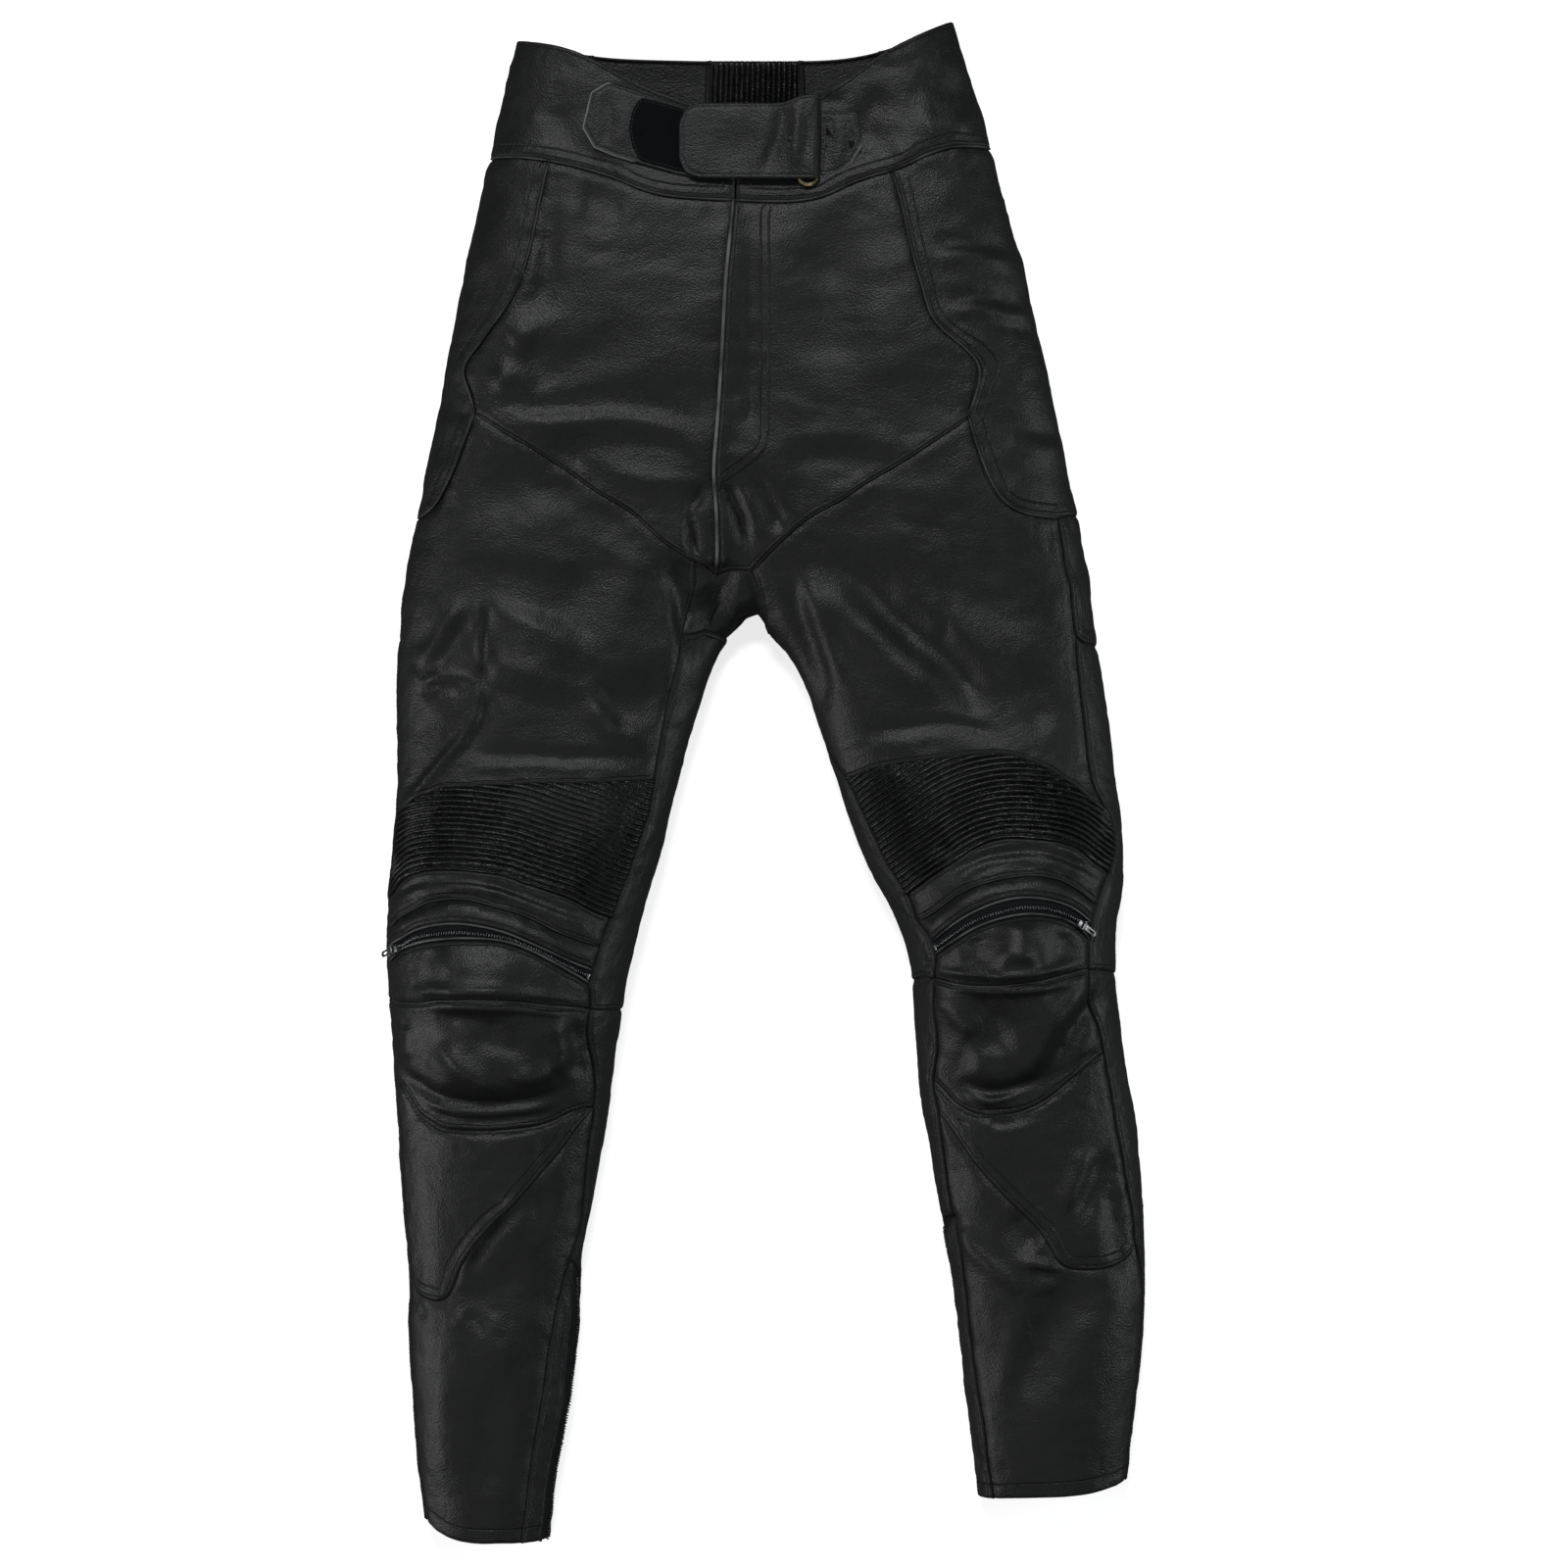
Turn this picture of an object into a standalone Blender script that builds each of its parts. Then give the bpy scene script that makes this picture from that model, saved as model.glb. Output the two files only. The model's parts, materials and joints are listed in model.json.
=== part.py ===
# Leather motorcycle trousers, laid on their back: waist towards +Y, front up, z = 0 under the seat.
# The wearer's right leg is at -X. Tables are in millimetres; every mesh is written in metres.
import math

import bmesh
import bpy
import numpy as np
from mathutils import Matrix, Vector
from mathutils.geometry import delaunay_2d_cdt

MM = 0.001
LEATHER = 1.6            # wall of a leather panel
TAPE = 1.0               # wall of a woven zip tape
SEAM_GAP = 0.3           # between two pieces at a seam
EDGE_SHARE = 0.36        # height of the side edge, as a share of the garment's thickness
FRONT_ROLL = 62.0        # width over which the front rolls over to the side edge
NOTCH_ROLL = 50.0        # the same along the inside of the legs
BACK_ROLL = 22.0         # width over which the back rises to the side edge
ROLL_STEP, FLAT_STEP = 11.5, 30.0    # facet sizes across a rolled edge and across a flat panel
BODY_ROW, KNEE_ROW = 30.0, 18.0      # facet sizes along the garment
KNEE_TOP, KNEE_END = 20.0, -250.0
RIPPLE = 0.04            # the back is never dead flat
REST_PAD = (-110.0, 60.0, 230.0, 330.0)    # x and y range of the seat that rests dead flat

# The outline, one row for each level, from the waist to the hems.
OUTLINE = (
    # y, right outer, right inner, left inner, left outer, thickness
    (540, -171, None, None, 127, 38),
    (487, -182, None, None, 145, 42),
    (437, -193, None, None, 159, 46),
    (373, -207, None, None, 177, 52),
    (305, -220, None, None, 193, 56),
    (237, -234, None, None, 208, 56),
    (188, -243, None, None, 218, 55),
    (135, -252, None, None, 227, 53),
    (120, -254, -9, -9, 229, 53),
    (107, -255, -20, -1, 231, 53),
    (92, -257, -31, 11, 234, 54),
    (67, -258, -41, 27, 237, 55),
    (33, -258, -50, 38, 241, 56),
    (-1, -257, -60, 49, 245, 58),
    (-35, -259, -68, 61, 249, 60),
    (-69, -262, -78, 75, 250, 63),
    (-103, -265, -86, 93, 244, 65),
    (-137, -263, -95, 101, 244, 65),
    (-171, -260, -101, 103, 248, 62),
    (-205, -259, -105, 105, 253, 58),
    (-239, -257, -110, 111, 259, 56),
    (-307, -252, -121, 123, 265, 54),
    (-341, -250, -127, 130, 265, 52),
    (-409, -248, -135, 138, 260, 48),
    (-477, -243, -145, 147, 254, 43),
    (-540, -236, -154, 156, 247, 38),
)
CROTCH_Y = 120.0

# The padded knee cup and the largest folds: each is a soft hill or trough along a line.
FOLDS = (
    # x0, y0, x1, y1, half width, height (+) or depth (-)
    (-200, -140, -172, -150, 62, 20),      # right knee cup
    (165, -122, 190, -126, 60, 20),        # left knee cup
    (-236, -224, -150, -222, 13, -7),      # fold under the right cup
    (134, -208, 205, -206, 13, -7),        # fold under the left cup
    (50, 160, 150, 62, 14, -4),            # long diagonal fold on the left thigh
    (-198, 128, -193, 66, 12, -3),         # upright fold on the right thigh
    (-40, 205, -50, 160, 12, -4),          # folds that run into the crotch
    (22, 196, -10, 150, 12, -4),
    (222, -110, 176, -178, 15, -5),        # folds of the left leg below the knee
    (-210, -345, -170, -380, 15, -4),
    (220, -345, 182, -430, 14, -4),
)
HOLLOWS = (
    # the same for the back, which only rises from what it rests on
    (-240, -120, -110, -125, 26, 6),
    (118, -108, 232, -112, 26, 6),
    (-30, 440, -20, 500, 40, 2),
)


# ---------------------------------------------------------------- curves

def hermite(knots, values, at):
    """Smooth curve through the table that never swings past a row."""
    knots, values = np.asarray(knots, float), np.asarray(values, float)
    gaps = np.diff(knots)
    rises = np.diff(values) / gaps
    slopes = np.concatenate([rises[:1], np.zeros(len(knots) - 2), rises[-1:]])
    before, after = rises[:-1], rises[1:]
    same = before * after > 0
    w1, w2 = 2 * gaps[1:] + gaps[:-1], gaps[1:] + 2 * gaps[:-1]
    slopes[1:-1][same] = ((w1 + w2)[same] / (w1[same] / before[same] + w2[same] / after[same]))
    k = np.clip(np.searchsorted(knots, at) - 1, 0, len(gaps) - 1)
    h = gaps[k]
    t = np.clip((at - knots[k]) / h, 0, 1)
    return (values[k] * (1 + 2 * t) * (1 - t) ** 2 + slopes[k] * h * t * (1 - t) ** 2
            + values[k + 1] * t * t * (3 - 2 * t) + slopes[k + 1] * h * t * t * (t - 1))


def column(index):
    """One column of OUTLINE as rising y values and what they hold."""
    rows = [(row[0], row[index]) for row in reversed(OUTLINE) if row[index] is not None]
    return np.array([r[0] for r in rows], float), np.array([r[1] for r in rows], float)


def outline_at(index, y):
    knots, values = column(index)
    return hermite(knots, values, np.asarray(y, float))


def spline(points, count=24):
    """Dense points on a smooth curve through a few."""
    points = np.asarray(points, float)
    steps = np.hypot(*np.diff(points[:, :2], axis=0).T)
    knots = np.concatenate([[0], np.cumsum(steps)])
    at = np.linspace(0, knots[-1], count * (len(points) - 1) + 1)
    if len(points) == 2:
        return points[0] + np.outer(at / knots[-1], points[1] - points[0])
    return np.stack([hermite(knots, points[:, k], at) for k in range(points.shape[1])], axis=1)


def distance(x, y, line):
    """Distance of each point to a polyline."""
    a, b = line[:-1], line[1:]
    run = b - a
    px, py = np.asarray(x)[..., None] - a[:, 0], np.asarray(y)[..., None] - a[:, 1]
    t = np.clip((px * run[:, 0] + py * run[:, 1]) / (run ** 2).sum(axis=1), 0, 1)
    return np.sqrt(((px - t * run[:, 0]) ** 2 + (py - t * run[:, 1]) ** 2).min(axis=-1))


LEVELS = np.linspace(-560, 560, 141)
OUTER_LINES = [np.stack([outline_at(k, LEVELS), LEVELS], axis=1) for k in (1, 4)]
LEG_LEVELS = np.linspace(-560, CROTCH_Y, 90)
NOTCH_LINE = np.concatenate([
    np.stack([outline_at(2, LEG_LEVELS), LEG_LEVELS], axis=1),
    np.stack([outline_at(3, LEG_LEVELS), LEG_LEVELS], axis=1)[-2::-1],
])


# ---------------------------------------------------------------- the two skins

def roll(share):
    return np.sqrt(1 - (1 - np.clip(share, 0, 1)) ** 2)


def folds_at(x, y, table):
    total = np.zeros(np.broadcast(x, y).shape)
    for x0, y0, x1, y1, width, height in table:
        near = distance(x, y, np.array([(x0, y0), (x1, y1)], float)) / width
        total = total + height * np.exp(-near ** 2)
    return total


def side_rolls(x, y, width, notch_width):
    outer = np.minimum(distance(x, y, OUTER_LINES[0]), distance(x, y, OUTER_LINES[1]))
    return roll(outer / width) * roll(distance(x, y, NOTCH_LINE) / notch_width)


def front_z(x, y):
    thickness = outline_at(5, y)
    edge = EDGE_SHARE * thickness
    return edge + (thickness - edge + folds_at(x, y, FOLDS)) * side_rolls(x, y, FRONT_ROLL, NOTCH_ROLL)


def back_z(x, y):
    edge = EDGE_SHARE * outline_at(5, y)
    flat = side_rolls(x, y, BACK_ROLL, BACK_ROLL)
    pad = (x > REST_PAD[0]) & (x < REST_PAD[1]) & (y > REST_PAD[2]) & (y < REST_PAD[3])
    ripple = RIPPLE * (1 + np.sin(0.31 * x + 0.17 * y)) * (1 - pad)
    return edge * (1 - flat) + flat * (folds_at(x, y, HOLLOWS) + ripple)


class Ring:
    """One side of the garment, unrolled: s is the arc from the outer edge, + over the front."""

    def __init__(self, side):
        self.side = side
        self.turn = -1 if side == "right" else 1          # the side's own sign of x
        self.outer, self.inner = (1, 2) if side == "right" else (4, 3)
        self.kept = {}

    def section(self, y):
        y = round(float(y), 3)
        if y not in self.kept:
            start = float(outline_at(self.outer, y))
            end = float(outline_at(self.inner, y)) if y < CROTCH_Y else -22 - self.turn * 60
            share = 0.5 - 0.5 * np.cos(np.linspace(0, math.pi, 181))
            x = start + (end - start) * share
            skins = []
            for height in (front_z, back_z):
                z = height(x, np.full_like(x, y))
                arc = np.concatenate([[0], np.cumsum(np.hypot(np.diff(x), np.diff(z)))])
                skins.append((x, z, arc))
            self.kept[y] = skins
        return self.kept[y]

    def lengths(self, y):
        front, back = self.section(y)
        return front[2][-1], back[2][-1]

    def point(self, s, y):
        front, back = self.section(y)
        f, b = front[2][-1], back[2][-1]
        if s > f and y < CROTCH_Y:
            skin, at = back, f + b - s
        elif s >= 0:
            skin, at = front, s
        elif -s > b and y < CROTCH_Y:
            skin, at = front, f + b + s
        else:
            skin, at = back, -s
        return np.array([np.interp(at, skin[2], skin[0]), y, np.interp(at, skin[2], skin[1])])

    def s_of(self, x, y, layer, over):
        """Arc of a surface point; over says which skin the panel spans where it leaves the front."""
        front, back = self.section(y)
        f, b = front[2][-1], back[2][-1]
        skin = front if layer == "front" else back
        order = slice(None) if skin[0][-1] > skin[0][0] else slice(None, None, -1)
        arc = float(np.interp(x, skin[0][order], skin[2][order]))
        if layer == "front":
            return arc - (f + b) if over == "back" and y < CROTCH_Y and arc > f / 2 else arc
        return f + b - arc if over == "front" and y < CROTCH_Y and arc > b / 2 else -arc

    def surface(self, s, y):
        """Point and outward normal."""
        step = 0.4
        here = self.point(s, y)
        across = self.point(s + step, y) - self.point(s - step, y)
        along = self.point(s, y + step) - self.point(s, y - step)
        normal = np.cross(across, along) * (-self.turn)
        return here, normal / np.linalg.norm(normal)

    def step_across(self, s, y):
        """Facet size wanted at a place: small over a rolled edge."""
        f, b = self.lengths(y)
        edges = [0.0]
        if y < CROTCH_Y:
            edges += [f, -b]
        near = min(abs(s - e - (14 if k != 2 else 0)) for k, e in enumerate(edges))
        blend = np.clip((near - 30) / 30, 0, 1)
        return ROLL_STEP + (FLAT_STEP - ROLL_STEP) * blend

    def step_along(self, y):
        return KNEE_ROW if KNEE_END < y < KNEE_TOP else BODY_ROW


RINGS = {side: Ring(side) for side in ("right", "left")}


# ---------------------------------------------------------------- seams

def drawn_seam(ring, table):
    """A seam drawn on the front, as dense points (s, y)."""
    return [(ring.s_of(x, y, "front", "front"), y) for x, y in spline(table)]


def arc_seam(ring, table, over):
    """A seam drawn on the unrolled side, as dense points (s, y); see ARC_SEAMS."""
    far = any(kind == "F" for kind, _, _ in table) and all(y < CROTCH_Y for _, _, y in table)
    rows = []
    for kind, value, y in table:
        f, b = ring.lengths(y)
        wrap = f + b if over == "back" and far else 0
        edge = f if far else 0
        s = value if kind == "s" else f - wrap + value if kind == "F" else ring.s_of(value, y, kind, over)
        rows.append((s + wrap - edge, y))
    dense = []
    for offset, y in spline(rows):
        f, b = ring.lengths(y)
        dense.append((offset + (f if far else 0) - (f + b if over == "back" and far else 0), y))
    return dense


def seam_vertices(ring, dense):
    """Vertices (x, y, layer) spaced by the facet size wanted along the seam."""
    cost = [0.0]
    for (s0, y0), (s1, y1) in zip(dense[:-1], dense[1:]):
        cost.append(cost[-1] + math.hypot((s1 - s0) / ring.step_across(s0, y0),
                                          (y1 - y0) / ring.step_along(y0)))
    arcs, levels = np.array(dense).T
    found = []
    for at in np.linspace(0, cost[-1], max(1, round(cost[-1])) + 1):
        s, y = float(np.interp(at, cost, arcs)), float(np.interp(at, cost, levels))
        f, b = ring.lengths(y)
        on_front = 0 <= s <= f or (y < CROTCH_Y and -s > b)
        found.append((float(ring.point(s, y)[0]), y, "front" if on_front else "back"))
    return found


def share_ends(edges):
    """Ends of seams that meet become the same vertex."""
    joints = []
    for edge in edges.values():
        for end in (0, -1):
            x, y, layer = edge[end]
            here = np.array([x, y, float(front_z(x, y) if layer == "front" else back_z(x, y))])
            near = [vertex for place, vertex in joints if np.linalg.norm(place - here) < JOINT_REACH]
            if near:
                edge[end] = near[0]
            else:
                joints.append((here, edge[end]))


# Seams drawn on the front: rows of (x, y), from the waist down or from the outer edge inwards.
SEAMS = {
    "right": {
        "waist_hip": ((-193, 436), (-172, 436), (-153, 433)),
        "waist_front": ((-153, 433), (-122, 425), (-94, 416), (-66, 409), (-21, 405)),
        "top_front": ((-176, 517), (-149, 513), (-119, 503), (-94, 488), (-52, 471), (-21, 464)),
        "centre_band": ((-21, 464), (-21, 405)),
        "centre": ((-21, 405), (-25, 364), (-30, 277), (-34, 212), (-33, 167), (-31, 146)),
        "hip_upper": ((-153, 433), (-162, 387), (-167, 360), (-178, 332), (-199, 307), (-208, 291),
                      (-207, 271), (-202, 256)),
        "hip_lower": ((-202, 256), (-209, 238), (-218, 217), (-226, 198), (-243, 186)),
        "diagonal": ((-202, 256), (-155, 229), (-120, 207), (-86, 182), (-50, 153)),
        "crotch_top": ((-50, 153), (-31, 146)),
        "gusset_front": ((-50, 153), (-44, 133), (-46, 120), (-53, 101)),
        "inseam_thigh": ((-53, 101), (-58, 80), (-68, 37), (-73, 3)),
        "inseam_ribs": ((-73, 3), (-78, -20), (-96, -72), (-105, -95)),
        "inseam_band_1": ((-105, -95), (-112, -117)),
        "inseam_band_2": ((-112, -117), (-116, -130)),
        "inseam_zip": ((-116, -130), (-117, -141)),
        "inseam_cup_1": ((-117, -141), (-117, -157)),
        "inseam_cup_2": ((-117, -157), (-120, -173), (-115, -209), (-116, -224)),
        "inseam_calf": ((-116, -224), (-121, -250), (-123, -290), (-130, -329)),
        "knee_top": ((-257.7, -24), (-250, -16), (-237, -9), (-223, -5), (-190, -2), (-120, -1), (-73, 3)),
        "rib_end": ((-262.8, -81), (-251, -67), (-237, -60), (-210, -58), (-184, -64), (-143, -78), (-105, -95)),
        "band_end": ((-264.6, -101), (-248, -89), (-232, -81), (-212, -79), (-188, -84), (-139, -105),
                     (-112, -117)),
        "zip_top": ((-264.4, -113), (-250, -103), (-236, -97), (-212, -95), (-188, -99), (-139, -121),
                    (-116, -130)),
        "zip_end": ((-263, -124), (-251, -117), (-237, -111), (-218, -108), (-190, -108), (-163, -114),
                    (-138, -131), (-117, -141)),
        "cup_seam": ((-260, -150), (-236, -151), (-180, -152), (-145, -153), (-117, -157)),
        "cup_end": ((-258.5, -201), (-247, -219), (-234, -234), (-214, -241), (-182, -241), (-150, -236),
                    (-116, -224)),
        "shin_inner": ((-116, -224), (-136, -243), (-150, -269), (-167, -286), (-190, -303), (-208, -325),
                       (-221, -361)),
        "shin_end": ((-249, -347), (-238, -353), (-221, -361)),
        "strip_seam": ((-130, -329), (-138, -350), (-149, -391), (-154, -437), (-161, -475), (-168, -529)),
        "zip_line": ((-130, -329), (-133, -369), (-138, -417), (-148, -479), (-155, -526)),
    },
    "left": {
        "waist_hip": ((158, 443), (131, 441), (107, 433), (90, 428)),
        "waist_front": ((90, 428), (65, 418), (46, 409), (22, 400), (-21, 405)),
        "top_front": ((130, 530), (107, 520), (87, 510), (65, 496), (47, 480), (27, 469), (-21, 464)),
        "centre_band": ((-21, 464), (-21, 405)),
        "centre": ((-21, 405), (-25, 364), (-30, 277), (-34, 212), (-33, 167), (-31, 146)),
        "hip_upper": ((90, 428), (99, 385), (105, 354), (114, 325), (137, 305), (152, 294), (152, 280),
                      (143, 262), (142, 253)),
        "hip_lower": ((142, 253), (146, 235), (158, 205), (166, 193), (180, 187), (203, 186)),
        "diagonal": ((142, 253), (124, 243), (90, 220), (54, 201), (31, 184), (-11, 150)),
        "crotch_top": ((-11, 150), (-31, 146)),
        "inseam_ribs": ((54, 4), (64, -16), (83, -58), (96, -80)),
        "inseam_band_1": ((96, -80), (106, -100)),
        "inseam_band_2": ((106, -100), (112, -111)),
        "inseam_zip": ((112, -111), (114, -122)),
        "inseam_cup_1": ((114, -122), (114, -134)),
        "inseam_cup_2": ((114, -134), (113, -160), (117, -183), (112, -204)),
        "inseam_shin": ((112, -204), (120, -228)),
        "inseam_calf": ((120, -228), (123, -273), (128, -301)),
        "outseam_seat": ((203, 186), (208, 160), (213, 126), (216, 100)),
        "outseam_thigh": ((216, 100), (219, 67), (223, 30), (227, 1), (235, -16)),
        "outseam_ribs": ((235, -16), (243, -31), (244, -48), (238, -62)),
        "outseam_band_1": ((238, -62), (232, -84)),
        "outseam_band_2": ((232, -84), (227, -97)),
        "outseam_zip": ((227, -97), (225, -112)),
        "outseam_cup_1": ((225, -112), (225, -128)),
        "outseam_cup_2": ((225, -128), (224, -146), (231, -160), (235, -186)),
        "outseam_shin": ((235, -186), (239, -205), (244, -240), (254, -285), (259, -320)),
        "knee_top": ((235, -16), (217, -5), (202, 5), (188, 15), (172, 21), (150, 21), (99, 13), (54, 4)),
        "rib_end": ((238, -62), (217, -48), (202, -39), (180, -36), (155, -40), (129, -55), (96, -80)),
        "band_end": ((232, -84), (217, -72), (202, -63), (186, -61), (165, -63), (143, -70), (122, -85),
                     (106, -100)),
        "zip_top": ((227, -97), (218, -86), (204, -79), (184, -76), (165, -78), (146, -85), (126, -97),
                    (112, -111)),
        "zip_end": ((225, -112), (216, -100), (205, -93), (191, -91), (175, -92), (150, -99), (133, -108),
                    (114, -122)),
        "cup_seam": ((225, -128), (208, -135), (190, -137), (155, -140), (130, -138), (114, -134)),
        "cup_end": ((235, -186), (210, -207), (193, -222), (175, -229), (155, -232), (138, -227),
                    (124, -218), (112, -204)),
        "shin_inner": ((120, -228), (131, -246), (144, -264), (156, -277), (177, -297), (195, -316),
                       (207, -339)),
        "shin_end": ((259, -320), (252, -330), (240, -336), (222, -341), (207, -339)),
        "strip_seam": ((128, -301), (134, -318), (139, -367), (144, -412), (151, -447), (157, -498)),
    },
}

# Seams drawn on the unrolled side: rows of (kind, value, y). "s" counts from the side edge, + over the
# front; "F" counts on from the inside of the leg; "front" and "back" give x on that skin.
ARC_SEAMS = {
    "right": {
        "top_side": (("s", 0.5, 517), ("s", -30, 513), ("s", -64, 506)),
        "waist_side": (("s", 0.5, 436), ("s", -30, 437), ("s", -64, 438)),
        "side_band": (("s", -64, 506), ("s", -64, 438)),
        "hip_back": (("s", -64, 438), ("s", -58, 360), ("s", -70, 300), ("s", -58, 250), ("s", -52, 186)),
        "hip_end": (("s", 4, 186), ("s", -20, 185), ("s", -52, 186)),
        "outseam_seat": (("s", 4, 186), ("s", 4, 100)),
        "outseam_thigh": (("s", 4, 100), ("s", 5, -24)),
        "outseam_ribs": (("s", 5, -24), ("s", 5, -81)),
        "outseam_band_1": (("s", 5, -81), ("s", 5, -101)),
        "outseam_band_2": (("s", 5, -101), ("s", 5, -113)),
        "outseam_zip": (("s", 5, -113), ("s", 5, -124)),
        "outseam_cup_1": (("s", 5, -124), ("s", 6, -150)),
        "outseam_cup_2": (("s", 6, -150), ("s", 5, -201)),
        "outseam_shin": (("s", 5, -201), ("s", 5, -347)),
        "outseam_calf": (("s", 5, -347), ("s", 4, -511)),
        "seat_end": (("s", 4, 100), ("s", -60, 96), ("s", -130, 104), ("back", -53, 101)),
        "gusset_ring": (("front", -53, 101), ("back", -53, 101)),
        "knee_back": (("s", 6, -150), ("s", -60, -154), ("s", -110, -154), ("front", -117, -157)),
        "hem_front": (("s", 4, -511), ("s", 20, -523), ("s", 40, -529), ("front", -168, -529)),
        "hem_strip": (("front", -168, -529), ("front", -155, -526)),
        "hem_zip": (("front", -155, -526), ("F", 5, -523)),
        "zip_back": (("front", -130, -329), ("F", 5, -352), ("F", 5, -523)),
        "hem_back": (("s", 4, -511), ("s", -30, -518), ("s", -60, -522), ("F", 5, -523)),
    },
    "left": {
        "top_side": (("s", 0.5, 530), ("s", -30, 521), ("s", -64, 509)),
        "waist_side": (("s", 0.5, 443), ("s", -30, 441), ("s", -64, 439)),
        "side_band": (("s", -64, 509), ("s", -64, 439)),
        "hip_back": (("s", -64, 439), ("s", -58, 360), ("s", -70, 300), ("s", -58, 250), ("s", -52, 186)),
        "hip_end": (("front", 203, 186), ("s", 0, 187), ("s", -52, 186)),
        "seat_end": (("front", 216, 100), ("s", 0, 98), ("s", -60, 96), ("s", -130, 104), ("back", 30, 101)),
        "gusset_front": (("front", -11, 150), ("front", -9, 136), ("front", -4, 122), ("F", 6, 101)),
        "gusset_ring": (("F", 6, 101), ("back", 30, 101)),
        "inseam_thigh": (("F", 6, 101), ("F", 8, 60), ("F", 2, 25), ("front", 54, 4)),
        "knee_back": (("front", 225, -128), ("s", 0, -133), ("s", -60, -137), ("s", -110, -137),
                      ("front", 114, -134)),
        "outseam_calf": (("front", 259, -320), ("s", 5, -350), ("s", 4, -484)),
        "hem_front": (("s", 4, -484), ("s", 22, -491), ("s", 50, -496), ("front", 157, -498)),
        "hem_strip": (("front", 157, -498), ("F", 3, -496)),
        "hem_zip": (("F", 3, -496), ("F", 9, -495)),
        "zip_line": (("front", 128, -301), ("F", 3, -325), ("F", 3, -496)),
        "zip_back": (("front", 128, -301), ("F", 4, -308), ("F", 9, -330), ("F", 9, -495)),
        "hem_back": (("s", 4, -484), ("s", -30, -490), ("s", -60, -495), ("F", 9, -495)),
    },
}
BACK_CENTRE = ((-17, 438), (-24, 300), (-28, 155))
RIB_PANEL = (-39, 24)                 # x range of the stretch panel at the back of the waist
BACK_TOP, BACK_WAIST = 503.0, 438.0
SPAN_THE_BACK = ("seat_end", "knee_back", "hem_back")
JOINT_REACH = 5.5                     # ends of seams nearer than this are one vertex


def make_seams(side):
    ring = RINGS[side]
    edges = {}
    for name, table in ARC_SEAMS[side].items():
        over = "back" if name in SPAN_THE_BACK else "front"
        edges[name] = seam_vertices(ring, arc_seam(ring, table, over))
    for name, table in SEAMS[side].items():
        edges[name] = seam_vertices(ring, drawn_seam(ring, table))
    rib_x = RIB_PANEL[0] if side == "right" else RIB_PANEL[1]
    top_x, top_y, _ = edges["side_band"][0]
    waist_x, waist_y, _ = edges["side_band"][-1]
    ring_x, ring_y, _ = edges["gusset_ring"][-1]
    edges["back_top"] = on_back(((top_x, top_y), (0.6 * top_x + 0.4 * rib_x, BACK_TOP + 1), (rib_x, BACK_TOP)))
    edges["back_waist"] = on_back(((waist_x, waist_y), (rib_x, BACK_WAIST)))
    edges["back_waist_rib"] = on_back(((rib_x, BACK_WAIST), BACK_CENTRE[0]))
    edges["rib_side"] = on_back(((rib_x, BACK_TOP), (rib_x, BACK_WAIST)))
    edges["back_centre"] = on_back(BACK_CENTRE)
    middle = (0.5 * (BACK_CENTRE[-1][0] + ring_x) + 2 * ring.turn, 132)
    edges["gusset_back"] = on_back((BACK_CENTRE[-1], middle, (ring_x, ring_y)))
    share_ends(edges)
    return edges


def on_back(table):
    dense = spline(table)
    length = np.concatenate([[0], np.cumsum(np.hypot(*np.diff(dense, axis=0).T))])
    count = max(1, round(length[-1] / FLAT_STEP))
    at = np.linspace(0, length[-1], count + 1)
    return [(float(np.interp(a, length, dense[:, 0])), float(np.interp(a, length, dense[:, 1])), "back")
            for a in at]


# ---------------------------------------------------------------- panels

class RingChart:
    """Lays a panel out on one unrolled side."""

    def __init__(self, side, over):
        self.ring, self.over = RINGS[side], over
        self.flip = self.ring.turn > 0

    def lay(self, x, y, layer):
        return self.ring.s_of(x, y, layer, self.over), y

    def surface(self, a, b):
        return self.ring.surface(a, b)

    def inner_points(self, outline):
        return rows_inside(outline, self.ring.step_along, self.ring.step_across)


class BackChart:
    """Lays a panel out flat, on the back skin."""

    flip = True

    def lay(self, x, y, layer):
        return x, y

    def surface(self, a, b):
        return height_normal(back_z, a, b, -1)

    def inner_points(self, outline):
        return rows_inside(outline, lambda y: BODY_ROW, lambda a, b: FLAT_STEP)


class CrotchChart:
    """Lays the gusset out: second value + on the front and - on the back, 0 along the leg opening."""

    flip = False
    rows = (-70, -48, -30, -17, -8, -2.5, 0, 2.5, 8, 17, 30, 48, 70, 95)

    def notch(self, x):
        line = NOTCH_LINE[(NOTCH_LINE[:, 1] > -20)]
        return float(np.interp(x, line[:, 0], line[:, 1]))

    def lay(self, x, y, layer):
        height = max(0.0, y - self.notch(x))
        return x, height if layer == "front" else -height

    def surface(self, a, b):
        skin, sign = (front_z, 1) if b >= 0 else (back_z, -1)
        if abs(b) < 1.2:
            x0, x1 = a - 1, a + 1
            slope = (self.notch(x1) - self.notch(x0)) / 2
            normal = np.array([slope, -1.0, 0.0])
            y = self.notch(a) + abs(b)
            return np.array([a, y, float(skin(a, y))]), normal / np.linalg.norm(normal)
        return height_normal(skin, a, self.notch(a) + abs(b), sign)

    def inner_points(self, outline):
        found = []
        for b in self.rows:
            for start, end in spans(outline, b):
                count = max(1, round((end - start) / 11))
                found += [(start + (end - start) * k / count, b) for k in range(1, count)]
        return found


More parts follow.
